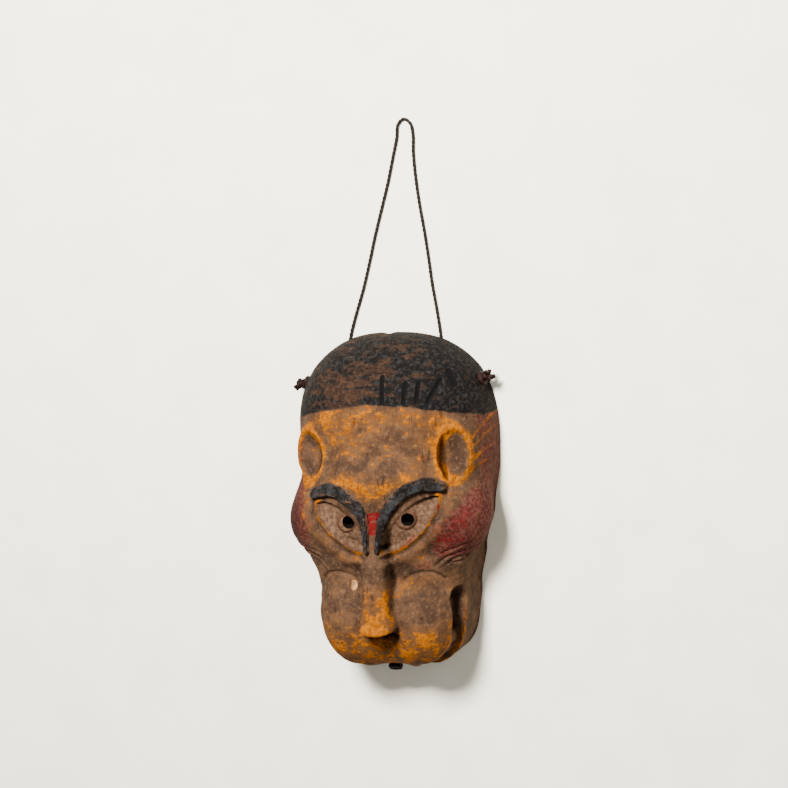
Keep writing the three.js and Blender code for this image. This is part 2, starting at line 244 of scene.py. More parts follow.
@dataclass
class Carving:
    """The mask's form, as a field that is negative in the wood."""

    cheekbone: Ball = Ball((66, -4, 46), (35, 38, 36), 16)
    undercut: Ball = Ball((104, -64, 62), (24, 30, 34), 10)
    lobe: Ball = Ball((32, -100, 56), (36, 49, 35), 9)
    lip_groove: Ball = Ball((0, -132, 110), (9, 28, 24), 8)
    ear: Ball = Ball((72.3, 60, 63), (18.5, 29, 9.8), 4.0, 27)
    ear_cup: Ball = Ball((75.0, 61, 70.0), (14.6, 24.5, 8.6), 1.2, 27)
    ear_deep: Ball = Ball((66.0, 57, 72.5), (5, 19, 9), 2.5, 27)
    step: float = 0.6
    width: float = 112.0
    low: float = -162.0
    high: float = 172.0

    def __post_init__(self) -> None:
        """Draw the relief once, on a fine sheet laid over the face."""
        xs = np.arange(-self.width, self.width, self.step)
        ys = np.arange(self.low, self.high, self.step)
        x, y = np.meshgrid(xs, ys)
        self.sheet = self.relief(x, y)

    def lean(self, y: np.ndarray) -> np.ndarray:
        """How far the face's middle line stands to one side."""
        return -4.0 + 7.0 * ease(y, -75.0, 75.0)

    def strap(self, side: Side) -> tuple[Place, Place]:
        """Where a temple's strap hole opens, and its direction outwards."""
        x, y, z = STRAP_HOLE
        at = (x * side.value + float(self.lean(np.array(y))), y, z)
        return at, (STRAP_ALONG[0] * side.value, *STRAP_ALONG[1:])

    @staticmethod
    def level(across: np.ndarray, y: np.ndarray) -> np.ndarray:
        """Height measured square to the eyes, which slope a little to the right."""
        return y - 0.045 * across

    def almond(self, x: np.ndarray, y: np.ndarray) -> np.ndarray:
        """Shape of the eye: 0 at its middle line, 1 on its lids."""
        turn = math.radians(43.5)
        u = ((x - 35.2) * math.cos(turn) + (y + 5.0) * math.sin(turn)) / 35.5
        t = (y + 5.0) * math.cos(turn) - (x - 35.2) * math.sin(turn)
        open_ = np.clip(1.0 - u * u, 0.0, 1.0) ** 0.7
        return np.where(t < 0, -t / (12.5 * open_ + 0.05), t / (15.0 * open_ + 0.05))

    def brow_shape(self, x: np.ndarray, y: np.ndarray) -> np.ndarray:
        """Raised band of the brow, from 0 to 1."""
        d, run = line_distance(x, y, FaceLines.brow)
        half = 2.8 + 3.8 * ease(run, 0.0, 0.55) - 1.4 * ease(run, 0.88, 1.0)
        return 1.0 - ease(d / half, 0.72, 1.18)

    def relief(self, across: np.ndarray, y: np.ndarray) -> np.ndarray:
        """Height of the face's carving over the plain form.

        Args:
            across: Places across, from the leaning middle line.
            y: Places along.

        Returns:
            The height in millimetres.
        """
        x = np.abs(across)
        level = self.level(across, y)
        height = 4.6 * self.brow_shape(x, level)
        eye = self.almond(x, level)
        sunk = 1.0 - ease(eye, 0.8, 1.06)
        pupil = np.hypot(x - 30.4, level)
        height -= 4.4 * sunk
        iris = 0.4 * bump(pupil - 8.2, 1.0) - 0.9 * bump(pupil - 10.4, 1.0)
        height += sunk * (3.6 * bump(pupil, 17.0) + iris)
        lid, _ = line_distance(x, level, FaceLines.lid)
        height += 1.9 * bump(lid, 3.0) - 0.9 * bump(lid - 6.2, 2.4) * ease(eye, 1.0, 1.2)
        ridge, _ = line_distance(x, level, FaceLines.ridge)
        height += 2.8 * bump(ridge, 6.0) * (1.0 - ease(y, 0, 24))
        lobe, _ = line_distance(x, y, FaceLines.lobe)
        height -= 1.3 * bump(lobe, 1.6)
        nostril, _ = line_distance(x, y, FaceLines.nostril)
        height -= 0.4 * bump(nostril, 2.0)
        fold, _ = line_distance(x, y, FaceLines.fold)
        height -= 1.5 * bump(fold, 1.5) * ease(x, 50, 60)
        height -= bump(np.abs(fold - 5.5), 1.3) * ease(x, 56, 66)
        height -= 4.0 * bump(y + 113.5, 2.6) * (1.0 - ease(x, 13, 19))
        height += 4.0 * dab(x, y, (0, 42), (30, 26))
        height -= 3.2 * dab(x, y, (50, 60), (11, 28))
        return height + self.one_sided(across, y)

    def one_sided(self, x: np.ndarray, y: np.ndarray) -> np.ndarray:
        """Marks that are not the same on both sides: wrinkles, a scar, a chip and hair cuts."""
        height = np.zeros_like(x)
        marks = [
            (0.9, 1.1, [(25, -82), (31, -79.5), (39, -80.5)]),
            (0.5, 1.0, [(27, -89), (34, -87), (41, -88)]),
            (0.5, 1.0, [(-26, -79), (-36, -77), (-46, -79)]),
            (0.4, 0.9, [(-24, -90), (-33, -88.5)]),
            (1.2, 1.1, [(66, -45), (70, -41), (76, -38.5), (80, -41), (76, -44.5), (70, -45)]),
            (0.7, 1.2, [(-6, -4), (-2.5, -16), (-1.5, -27)]),
            (0.7, 1.2, [(5, -3), (2.5, -15), (1.5, -26)]),
            (0.6, 1.4, [(-20, 50), (-17, 62), (-19, 74)]),
            (0.5, 1.2, [(12, 40), (16, 54), (14, 66)]),
            (0.5, 1.2, [(-4, 64), (0, 76), (-2, 88)]),
        ]
        for deep, wide, line in marks:
            d, _ = line_distance(x, y, smooth_line(line))
            height -= deep * bump(d, wide)
        for ends in HAIR_CUTS:
            height -= 0.9 * bump(stroke_distance(x, y, ends)[0], 1.1)
        return height - 1.7 * (1.0 - ease(self.chip(x, y), 0.8, 1.15))

    @staticmethod
    def chip(across: np.ndarray, y: np.ndarray) -> np.ndarray:
        """Outline of the fresh chip beside the nose: under 1 inside."""
        return np.hypot((across + 27.0 + 0.25 * (y + 64)) / 3.4, (y + 64) / 4.9)

    def relief_at(self, across: np.ndarray, y: np.ndarray) -> np.ndarray:
        """Read the relief sheet between its lines."""
        u = np.clip((across + self.width) / self.step, 0, self.sheet.shape[1] - 1.001)
        v = np.clip((y - self.low) / self.step, 0, self.sheet.shape[0] - 1.001)
        i, j = u.astype(int), v.astype(int)
        a, b = u - i, v - j
        s = self.sheet
        top = s[j, i] * (1 - a) + s[j, i + 1] * a
        return top * (1 - b) + (s[j + 1, i] * (1 - a) + s[j + 1, i + 1] * a) * b

    def block(self, x: np.ndarray, y: np.ndarray, z: np.ndarray) -> np.ndarray:
        """The squarish dome that the mask is carved from."""
        wide = stations(y, [(-110, 73), (-81, 76), (-43, 83), (-3, 92), (44, 97.5), (80, 98.5)])
        deep = stations(y, [(-150, 88), (-97, 86), (-62, 78), (-38, 84), (-4, 92), (30, 93), (75, 86)])
        power = stations(y, [(-110, 4.2), (-55, 3.6), (-15, 2.6), (40, 2.5)])
        ends = (np.maximum(y - 70, 0) / 99) ** 2.4 + (np.maximum(-78 - y, 0) / 74) ** 3.0
        total = (x / wide) ** power + (np.maximum(z, 0) / deep) ** power + ends
        return (total ** (1.0 / power) - 1.0) * 72.0

    def nose(self, across: np.ndarray, y: np.ndarray, z: np.ndarray) -> np.ndarray:
        """The long trunk-like nose, wider and higher at its tip."""
        run = np.clip((-8.0 - y) / 100.0, 0.0, 1.0)
        half = 9.0 + 6.5 * run + 4.0 * ease(-y, 86, 106)
        wrinkle = 0.3 * np.sin((y + 0.02 * across**2) * 0.9 + 0.8 * np.sin(y * 0.21))
        wrinkle *= ease(-y, 34, 46) * (1.0 - ease(-y, 84, 92))
        wing = 1.6 * bump(np.abs(across) - 12.5, 3.5) * ease(-y, 94, 104)
        top = 99.0 + 12.0 * run - 0.018 * across**2 + wrinkle + wing
        bar = cut(np.abs(across) - half, top - z, 9.0)
        bar = cut(bar, y + 108.5 - 0.012 * across**2, 3.0)
        return cut(bar, 5.0 - y, 10.0)

    def mouth(self, x: np.ndarray, y: np.ndarray, z: np.ndarray) -> np.ndarray:
        """Depth of the recess that runs round the muzzle, and of the peg holes in its gum."""
        opening = np.clip((-70.0 - y) / 12.0, 0.0, 1.0) ** 0.6
        rear = ease(z, 52.0 - 7.0 * opening, 53.6 - 7.0 * opening)
        front = 1.0 - ease(z, 53.0 + 2.0 * opening, 60.0 + 16.0 * opening)
        gum = 1.0 - 0.6 * ease(-y, 110, 124) - 0.4 * ease(-y, 138, 148) * (1.0 - ease(x, 20, 34))
        depth = 11.0 * opening * rear * front * gum * ease(x, 18, 34)
        for px, py, pz in ((66, -119, 51), (58, -130, 51), (46, -138, 50)):
            depth = depth + 2.8 * bump(np.sqrt((x - px) ** 2 + (y - py) ** 2 + (z - pz) ** 2), 2.6)
        lip = bump(z - 66.0 - 4.0 * opening, 4.0) * opening * ease(x, 34, 50) * (1.0 - ease(-y, 112, 126))
        return depth - 1.6 * lip

    def outside(self, p: np.ndarray) -> np.ndarray:
        """The whole outside of the mask.

        Args:
            p: Points, one to a column.

        Returns:
            Rough distance to the surface in millimetres, negative in the wood.
        """
        y, z = p[1], p[2]
        across = p[0] - self.lean(y)
        x = np.abs(across)
        f = join(self.block(x, y, z), self.cheekbone.distance(x, y, z), self.cheekbone.blend)
        f = cut(f, self.undercut.distance(x, y, z), self.undercut.blend)
        f = join(f, self.lobe.distance(x, y, z), self.lobe.blend)
        f = cut(f, self.lip_groove.distance(x, y, z), self.lip_groove.blend)
        f = join(f, self.nose(across, y, z), 4.5)
        pointed = 0.24 * np.maximum(50.0 - y, 0.0) * np.sign(x - 72.0)
        aside = np.abs(x - 72.0)
        slim = x + np.where(aside < 26.0, pointed * np.clip(aside / 12.0, 0.0, 1.0), 0.0)
        f = join(f, self.ear.distance(slim, y, z), self.ear.blend)
        f = cut(f, self.ear_cup.distance(slim, y, z), self.ear_cup.blend)
        f = cut(f, self.ear_deep.distance(slim, y, z), self.ear_deep.blend)
        f = f + self.mouth(x, y, z)
        return f - self.relief_at(across, y) * ease(z, 34, 50)

    def hollow(self, p: np.ndarray) -> np.ndarray:
        """The scooped-out inside, as the distance is for the outside."""
        y, z = p[1], p[2]
        x = np.abs(p[0] - self.lean(y))
        wide = stations(y, [(-120, 52), (-60, 55), (-20, 79), (60, 83.5)])
        deep = stations(y, [(-110, 71), (-60, 63), (0, 73), (60, 71)])
        ends = (np.maximum(y - 70, 0) / 87) ** 2.4 + (np.maximum(-78 - y, 0) / 60) ** 3.0
        total = (x / wide) ** 2.4 + (np.maximum(z, 0) / deep) ** 2.4 + ends
        return (total ** (1.0 / 2.4) - 1.0) * 60.0


# ---------------------------------------------------------------- modelling by hand


def pick_nothing() -> None:
    """Leave every object unselected."""
    if bpy.context.object and bpy.context.object.mode != "OBJECT":
        bpy.ops.object.mode_set(mode="OBJECT")
    bpy.ops.object.select_all(action="DESELECT")


def pick(piece: bpy.types.Object) -> None:
    """Select one object alone and make it the active one."""
    pick_nothing()
    piece.select_set(True)
    bpy.context.view_layer.objects.active = piece


def coordinates(piece: bpy.types.Object) -> np.ndarray:
    """Read a mesh's corner points, one to a column."""
    flat = np.empty(len(piece.data.vertices) * 3, np.float64)
    piece.data.vertices.foreach_get("co", flat)
    return flat.reshape(-1, 3).T.copy()


def place_all(piece: bpy.types.Object, p: np.ndarray) -> None:
    """Write a mesh's corner points back."""
    piece.data.vertices.foreach_set("co", np.ascontiguousarray(p.T, np.float32).ravel())
    piece.data.update()


def measured(piece: bpy.types.Object) -> np.ndarray:
    """Read a mesh's points in carver's millimetres."""
    return coordinates(piece) / MM + CENTRE[:, None]


def shape(piece: bpy.types.Object, p: np.ndarray) -> None:
    """Write points given in carver's millimetres to a mesh."""
    place_all(piece, (p - CENTRE[:, None]) * MM)


def store(piece: bpy.types.Object, name: str, values: np.ndarray) -> None:
    """Store a value for each of a mesh's points."""
    stored = piece.data.attributes.new(name, "FLOAT", "POINT")
    stored.data.foreach_set("value", np.ascontiguousarray(values, np.float32))


def hand_over(piece: bpy.types.Object, node: str) -> None:
    """Hide the construction node that a finished piece stands for and hang the piece on the root body."""
    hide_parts(node)
    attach(piece, "root")


def normals(piece: bpy.types.Object) -> np.ndarray:
    """Read a mesh's normals at its points, one to a column."""
    flat = np.empty(len(piece.data.vertices) * 3, np.float64)
    piece.data.vertex_normals.foreach_get("vector", flat)
    return flat.reshape(-1, 3).T.copy()


def apply_all(piece: bpy.types.Object) -> None:
    """Apply every modifier in turn."""
    pick(piece)
    for modifier in list(piece.modifiers):
        bpy.ops.object.modifier_apply(modifier=modifier.name)


def edge_ends(piece: bpy.types.Object) -> np.ndarray:
    """Read which two points each of a mesh's edges joins, one edge to a row."""
    ends = np.empty(len(piece.data.edges) * 2, np.int64)
    piece.data.edges.foreach_get("vertices", ends)
    return ends.reshape(-1, 2)


def choose_edges(piece: bpy.types.Object, rule: Callable[[np.ndarray, np.ndarray], np.ndarray]) -> None:
    """Select edges by a rule on their two ends, in edit mode.

    Args:
        piece: The mesh object, active.
        rule: Takes the ends' points and gives which edges to select.
    """
    bpy.ops.object.mode_set(mode="OBJECT")
    mesh = piece.data
    points, ends = coordinates(piece), edge_ends(piece)
    chosen = rule(points[:, ends[:, 0]], points[:, ends[:, 1]])
    for kind in (mesh.vertices, mesh.polygons):
        kind.foreach_set("select", np.zeros(len(kind), bool))
    mesh.edges.foreach_set("select", np.ascontiguousarray(chosen, bool))
    bpy.ops.object.mode_set(mode="EDIT")


def cut_evenly(piece: bpy.types.Object, axis: int, count: int) -> None:
    """Cut a mesh's edges that run along an axis into equal parts, in edit mode."""
    if count > 1:
        choose_edges(piece, lambda a, b: np.abs(a[axis] - b[axis]) > 1e-6)
        bpy.ops.mesh.subdivide(number_cuts=count - 1, smoothness=0.0)


@dataclass(frozen=True)
class GridBox:
    """An open-bottomed box with a fine grid on its faces, to be pushed onto a form."""

    across: tuple[int, int]
    along: tuple[int, int]
    rise: tuple[int, int]

    def make(self, name: str) -> bpy.types.Object:
        """Add the box and divide it, two passes to an axis.

        Args:
            name: The object's name.

        Returns:
            The box, from -1 to 1 across and along and from 0 to 1 up.
        """
        pick_nothing()
        bpy.ops.mesh.primitive_cube_add(size=2.0, location=(0.0, 0.0, 0.0))
        box = bpy.context.object
        box.name = name
        bpy.ops.object.mode_set(mode="EDIT")
        bpy.ops.mesh.select_mode(type="EDGE")
        for axis, counts in enumerate((self.across, self.along, self.rise)):
            for count in counts:
                cut_evenly(box, axis, count)
        bpy.ops.object.mode_set(mode="OBJECT")
        p = coordinates(box)
        p[2] = (p[2] + 1.0) / 2.0
        place_all(box, p)
        return box

    @staticmethod
    def drop_floor(box: bpy.types.Object) -> None:
        """Replace the divided underside with one flat face."""
        pick(box)
        mesh = box.data
        centres = np.empty(len(mesh.polygons) * 3)
        mesh.polygons.foreach_get("center", centres)
        under = centres.reshape(-1, 3)[:, 2] < coordinates(box)[2].min() + 1e-5
        for kind in (mesh.vertices, mesh.edges):
            kind.foreach_set("select", np.zeros(len(kind), bool))
        mesh.polygons.foreach_set("select", under)
        bpy.ops.object.mode_set(mode="EDIT")
        bpy.ops.mesh.select_mode(type="FACE")
        bpy.ops.mesh.dissolve_faces()
        bpy.ops.object.mode_set(mode="OBJECT")


def push_onto(p: np.ndarray, form: Callable[[np.ndarray], np.ndarray], drop: float) -> np.ndarray:
    """Push a grid box's points outwards until they meet a form.

    Args:
        p: The box's points.
        form: The form's distance.
        drop: How far below the floor the underside is taken.

    Returns:
        The points on the form.
    """
    u, v, w = p
    floor = w < 1e-6
    reach = np.where(floor, np.maximum(np.abs(u), np.abs(v)), 1.0)
    safe = np.maximum(reach, 1e-6)
    u, v = u / safe, v / safe
    start = np.stack([0 * u, v * CORE_HALF + CORE_MIDDLE, 0 * u])
    ray = np.stack([u * 100.0, v * 65.0 + 2.0, w * 90.0])
    ray /= np.linalg.norm(ray, axis=0)
    last = np.zeros(p.shape[1])
    strides = np.linspace(10.0, 190.0, 46)
    for t in strides:
        last = np.where(form(start + ray * t) < 0, t, last)
    near, far = last, last + strides[1] - strides[0]
    for _ in range(12):
        half = (near + far) / 2.0
        within = form(start + ray * half) < 0
        near, far = np.where(within, half, near), np.where(within, far, half)
    skin = start + ray * near
    skin[0] = np.where(floor, skin[0] * reach, skin[0])
    skin[1] = np.where(floor, CORE_MIDDLE + (skin[1] - CORE_MIDDLE) * reach, skin[1])
    skin[2] = np.where(floor, -drop, skin[2])
    return skin


def carve_away(piece: bpy.types.Object, cutter: bpy.types.Object) -> None:
    """Cut one closed shape out of another and throw the cutter away."""
    knife = piece.modifiers.new("cut", "BOOLEAN")
    knife.operation = "DIFFERENCE"
    knife.solver = "MANIFOLD"
    knife.object = cutter
    apply_all(piece)
    bpy.data.objects.remove(cutter, do_unlink=True)


def to_triangles(piece: bpy.types.Object) -> None:
    """Split every face into triangles, so that no long face folds onto the one beside it."""
    pick(piece)
    bpy.ops.object.mode_set(mode="EDIT")
    bpy.ops.mesh.select_all(action="SELECT")
    bpy.ops.mesh.quads_convert_to_tris(quad_method="BEAUTY", ngon_method="BEAUTY")
    bpy.ops.object.mode_set(mode="OBJECT")


def rod(
    name: str, radius: float, length: float, at: Place, along: Place, sides: int = 24
) -> bpy.types.Object:
    """Add a round rod about a point, in carver's millimetres.

    Args:
        name: The object's name.
        radius: Its radius.
        length: Its length.
        at: Its middle.
        along: Its direction.
        sides: How many sides it has.

    Returns:
        The rod, with its place in its mesh.
    """
    pick_nothing()
    centre = (np.array(at, float) - CENTRE) * MM
    bpy.ops.mesh.primitive_cylinder_add(
        vertices=sides, radius=radius * MM, depth=length * MM, location=centre
    )
    piece = bpy.context.object
    piece.name = name
    piece.rotation_mode = "QUATERNION"
    piece.rotation_quaternion = Vector((0, 0, 1)).rotation_difference(Vector(along).normalized())
    pick(piece)
    bpy.ops.object.transform_apply(location=True, rotation=True, scale=True)
    return piece


# ---------------------------------------------------------------- shader maths


class Wire:
    """A node's output, with arithmetic that adds Math nodes."""

    def __init__(self, shader: "Shader", socket: bpy.types.NodeSocket) -> None:
        """Keep the shader and the output socket."""
        self.shader = shader
        self.socket = socket

    def _math(self, operation: str, a: "Wire | float", b: "Wire | float") -> "Wire":
        """Add one Math node."""
        return self.shader.node("ShaderNodeMath", {"operation": operation}, {0: a, 1: b})

    def __add__(self, other: "Wire | float") -> "Wire":
        """Add."""
        return self._math("ADD", self, other)

    __radd__ = __add__

    def __mul__(self, other: "Wire | float") -> "Wire":
        """Multiply."""
        return self._math("MULTIPLY", self, other)

    __rmul__ = __mul__

    def __sub__(self, other: "Wire | float") -> "Wire":
        """Subtract a value from this one."""
        return self._math("SUBTRACT", self, other)

    def __rsub__(self, other: "Wire | float") -> "Wire":
        """Subtract this value from another."""
        return self._math("SUBTRACT", other, self)

    def eased(self, low: float, high: float) -> "Wire":
        """Smooth ramp from 0 at low to 1 at high."""
        settings = {"clamp": True, "interpolation_type": "SMOOTHSTEP"}
        return self.shader.node("ShaderNodeMapRange", settings, {0: self, 1: low, 2: high})


Colour = tuple[float, float, float]


def tint(red: int, green: int, blue: int) -> Colour:
    """A display colour from 0 to 255 as a shader's linear one."""
    shares = (v / 255.0 for v in (red, green, blue))
    return tuple(v / 12.92 if v <= 0.04045 else ((v + 0.055) / 1.055) ** 2.4 for v in shares)


class Shader:
    """A material's node tree under construction."""

    def __init__(self, name: str) -> None:
        """Start a material with its surface shader."""
        self.material = bpy.data.materials.new(name)
        self.material.use_nodes = True
        self.tree = self.material.node_tree
        self.tree.nodes.clear()
        self.surface = self.tree.nodes.new("ShaderNodeBsdfPrincipled")
        output = self.tree.nodes.new("ShaderNodeOutputMaterial")
        self.tree.links.new(self.surface.outputs["BSDF"], output.inputs["Surface"])
        coordinate = self.tree.nodes.new("ShaderNodeTexCoord")
        self.place = Wire(self, coordinate.outputs["Object"])

    def node(self, kind: str, settings: dict, inputs: dict, output: int | str = 0) -> Wire:
        """Add a node.

        Args:
            kind: The node's type.
            settings: Its own settings, set first.
            inputs: Values or links for its sockets, by number or name.
            output: Which output to hand back.

        Returns:
            The output, ready for arithmetic.
        """
        made = self.tree.nodes.new(kind)
        for key, value in settings.items():
            setattr(made, key, value)
        for key, value in inputs.items():
            socket = made.inputs[key]
            if isinstance(value, Wire):
                self.tree.links.new(value.socket, socket)
            elif isinstance(value, tuple) and len(value) == 3 and socket.type == "RGBA":
                socket.default_value = (*value, 1.0)
            else:
                socket.default_value = value
        return Wire(self, made.outputs[output])

    def noise(
        self, scale: float, detail: float = 3.0, roughness: float = 0.55, at: Wire | None = None
    ) -> Wire:
        """Cloudy noise about 0.5; scale is in swellings to the metre."""
        inputs = {"Vector": at or self.place, "Scale": scale, "Detail": detail, "Roughness": roughness}
        return self.node("ShaderNodeTexNoise", {}, inputs, "Fac")

    def stretched(self, x: float, y: float, z: float, turn: float = 0.0) -> Wire:
        """Object coordinates stretched and turned about the face's axis."""
        inputs = {"Vector": self.place, "Scale": (x, y, z), "Rotation": (0.0, 0.0, math.radians(turn))}
        return self.node("ShaderNodeMapping", {}, inputs)

    def pits(self, scale: float) -> Wire:
        """Distance to the nearest of many scattered points."""
        return self.node("ShaderNodeTexVoronoi", {}, {"Vector": self.place, "Scale": scale}, "Distance")

    def painted(self, name: str) -> Wire:
        """A value stored on the mesh."""
        return self.node("ShaderNodeAttribute", {"attribute_name": name}, {}, "Fac")

    def mix(self, amount: Wire | float, under: Wire | Colour, over: Wire | Colour) -> Wire:
        """Lay one colour over another."""
        return self.node("ShaderNodeMix", {"data_type": "RGBA"}, {"Factor": amount, 6: under, 7: over}, 2)

    def multiply(self, amount: Wire | float, under: Wire, over: Wire | Colour) -> Wire:
        """Darken one colour by another."""
        settings = {"data_type": "RGBA", "blend_type": "MULTIPLY"}
        return self.node("ShaderNodeMix", settings, {"Factor": amount, 6: under, 7: over}, 2)

    def finish(self, colour: Wire, roughness: Wire | float, height: Wire, deep: float, depth: float) -> None:
        """Send colour, roughness and bump to the surface.

        Args:
            colour: Base colour.
            roughness: Roughness.
            height: Bump height from 0 to 1.
            deep: Bump strength.
            depth: Bump distance in metres.
        """
        self.tree.links.new(colour.socket, self.surface.inputs["Base Color"])
        if isinstance(roughness, Wire):
            self.tree.links.new(roughness.socket, self.surface.inputs["Roughness"])
        else:
            self.surface.inputs["Roughness"].default_value = roughness
        bump_inputs = {"Strength": deep, "Distance": depth, "Height": height}
        bumped = self.node("ShaderNodeBump", {}, bump_inputs, "Normal")
        self.tree.links.new(bumped.socket, self.surface.inputs["Normal"])


@dataclass(frozen=True)
class WornPaint:
    """Old carved wood under layers of worn paint, with painted shade in recesses and a painted sheen on the
    brows.
    """

    wood: Colour = tint(72, 51, 36)
    wood_dark: Colour = tint(46, 32, 23)
    wood_pale: Colour = tint(100, 77, 56)
    cap_wood: Colour = tint(25, 17, 13)
    cap_bare: Colour = tint(46, 31, 22)
    fresh: Colour = tint(172, 120, 72)
    ochre: Colour = tint(134, 75, 0)
    ochre_deep: Colour = tint(104, 53, 0)
    ochre_wash: Colour = tint(92, 55, 18)
    charcoal: Colour = tint(9, 8, 8)
    # Grey in the worn soot, partly a painted sheen.
    slate_and_sheen: Colour = tint(33, 34, 34)
    # Painted sheen on the brows.
    brow_sheen: Colour = tint(43, 46, 48)
    crimson: Colour = tint(54, 14, 14)
    rose: Colour = tint(78, 42, 37)
    scarlet: Colour = tint(76, 4, 8)
    flesh: Colour = tint(64, 45, 33)
    flesh_pale: Colour = tint(90, 67, 50)
    iris: Colour = tint(56, 33, 21)
    # Dark colour for scratches and pits, and for darkening hollows and painting shade.
    grime: Colour = tint(20, 12, 7)

    def material(self) -> bpy.types.Material:
        """Build the layered paint, from the wood up."""
        s = Shader("worn_painted_wood")
        fine = s.noise(1100.0, 4.0, 0.65)
        small = s.noise(280.0, 5.0, 0.62)
        broad = s.noise(55.0, 5.0, 0.6)
        patch = s.noise(105.0, 6.0, 0.68)
        grain = s.noise(130.0, 5.0, 0.6, s.stretched(5.0, 0.6, 5.0, 8.0))
        brushed = s.noise(120.0, 5.0, 0.64, s.stretched(0.5, 1.35, 1.0, 6.0))
        strokes = s.noise(85.0, 5.0, 0.62, s.stretched(1.5, 3.2, 1.6, -52.0))
        cavity = s.painted("cavity")
        ridge = s.painted("ridge")
        cap = s.painted("cap")
        colour = self.bare_wood(s, broad, small, grain, fine, cap)
        flesh = s.painted("flesh")
        eye_wood = s.mix(small.eased(0.4, 0.62), self.flesh, self.flesh_pale)
        colour = s.mix(flesh * 0.85, colour, eye_wood)
        colour = s.mix(s.painted("iris") * 0.7, colour, self.iris)
        crimson = (s.painted("crimson") + (strokes - 0.5) * 1.5 + (broad - 0.5) * 0.8).eased(0.4, 0.8)
        colour = s.mix(crimson * 0.8, colour, s.mix(small.eased(0.4, 0.62), self.crimson, self.rose))
        wash = (s.painted("ochre") + (broad - 0.5) * 1.0 + (strokes - 0.5) * 0.5).eased(0.2, 0.85)
        colour = s.mix(wash * 0.62, colour, self.ochre_wash)
        torn = (broad - 0.5) * 1.5 + (patch - 0.5) * 1.5 + (fine - 0.5) * 0.5 + (strokes - 0.5) * 1.0
        ochre = (s.painted("ochre") + torn - ridge * 0.1).eased(0.57, 0.8)
        colour = s.mix(ochre * 0.92, colour, s.mix(small.eased(0.4, 0.6), self.ochre_deep, self.ochre))
        dry = (patch - 0.5) * 1.1 + (small - 0.5) * 1.0 + (strokes - 0.5) * 1.2
        scarlet = (s.painted("scarlet") + dry).eased(0.5, 0.72)
        colour = s.mix(scarlet * 0.92, colour, self.scarlet)
        worn = (brushed - 0.5) * 2.6 + (fine - 0.5) * 0.8 + (small - 0.5) * 0.5
        soot = (s.painted("soot") + worn - ridge * 0.15).eased(0.5, 0.66)
        # Soot mottled with grey, partly a painted sheen.
        colour = s.mix(soot * 0.93, colour, s.mix(small.eased(0.44, 0.66) * 0.7, self.charcoal, self.slate_and_sheen))
        # Painted sheen in patches on the brows.
        colour = s.mix(s.painted("brow") * patch.eased(0.46, 0.62) * 0.5, colour, self.brow_sheen)
        # Black ink for hair strokes and lines, and painted shade on the pupil holes' walls.
        ink = (s.painted("ink") + (small - 0.5) * 0.8).eased(0.45, 0.7)
        colour = s.mix(ink * 0.96, colour, self.charcoal)
        colour = s.mix(s.painted("chip"), colour, s.mix(grain.eased(0.4, 0.6), self.fresh, self.wood_pale))
        # Darker in hollows, in the ears' slits and on one cheek; painted shade under the nose, in the mouth's
        # recess and beside the chip.
        hollows_and_painted_shade = (cavity + s.painted("grime") + (small - 0.5) * 0.4).eased(0.3, 1.2)
        colour = s.multiply(hollows_and_painted_shade * 0.72, colour, self.grime)
        scratch = s.noise(210.0, 3.0, 0.6, s.stretched(1.6, 0.22, 1.0, 14.0)).eased(0.645, 0.68)
        colour = s.mix(scratch * 0.5, colour, self.grime)
        specks = 1.0 - s.pits(430.0).eased(0.05, 0.17)
        colour = s.mix(specks * small.eased(0.5, 0.6) * 0.75, colour, self.grime)
        rough = 0.62 + small * 0.3 - ridge * 0.08
        height = small * 0.55 + fine * 0.2 + grain * 0.5 + ochre * 0.16 + soot * 0.12 + ink * 0.1
        height = height - specks * 0.3 - scratch * 0.25
        s.surface.inputs["Specular IOR Level"].default_value = 0.03
        s.finish(colour, rough, height, 0.9, 0.0011)
        return s.material

    def bare_wood(self, s: Shader, broad: Wire, small: Wire, grain: Wire, fine: Wire, cap: Wire) -> Wire:
        """Old wood: mottled, with grain along the face, darker under the cap.

        Args:
            s: The shader.
            broad: Broad mottle.
            small: Small mottle.
            grain: Fibres along the wood.
            fine: Finest grit.
            cap: Where the cap is.

        Returns:
            The wood's colour.
        """
        colour = s.mix(broad.eased(0.34, 0.66), self.wood_dark, self.wood)
        colour = s.mix(grain.eased(0.45, 0.7) * 0.4, colour, self.wood_dark)
        colour = s.mix(small.eased(0.5, 0.72) * 0.42, colour, self.wood_pale)
        colour = s.mix(fine.eased(0.56, 0.75) * 0.3, colour, self.wood_pale)
        under = s.mix(small.eased(0.4, 0.64), self.cap_wood, self.cap_bare)
        return s.mix(cap * 0.92, colour, under)


@dataclass(frozen=True)
class DryLeather:
    """Dry, dark thong leather."""

    name: str
    dark: Colour
    light: Colour
    roughness: float

    def material(self) -> bpy.types.Material:
        """Build the leather."""
        s = Shader(self.name)
        grain = s.noise(1500.0, 3.0)
        patches = s.noise(420.0, 4.0, 0.6)
        colour = s.mix(patches.eased(0.4, 0.68), self.dark, self.light)
        s.surface.inputs["Specular IOR Level"].default_value = 0.1
        s.finish(colour, self.roughness + grain * 0.25, grain * 0.6 + patches * 0.5, 0.6, 0.0004)
        return s.material


@dataclass(frozen=True)
class DarkCord:
    """Waxed dark cord."""

    dark: Colour = tint(12, 9, 8)
    light: Colour = tint(34, 25, 21)

    def material(self) -> bpy.types.Material:
        """Build the cord's fibre."""
        s = Shader("dark_cord_fibre")
        fibre = s.noise(2600.0, 3.0, 0.7)
        groove = s.painted("groove")
        colour = s.mix(fibre.eased(0.35, 0.7), self.dark, self.light)
        # Painted shade in the twist's grooves.
        colour = s.multiply(groove * 0.7, colour, self.dark)
        s.surface.inputs["Specular IOR Level"].default_value = 0.12
        s.finish(colour, 0.72, fibre, 0.5, 0.0002)
        return s.material


# ---------------------------------------------------------------- the pieces


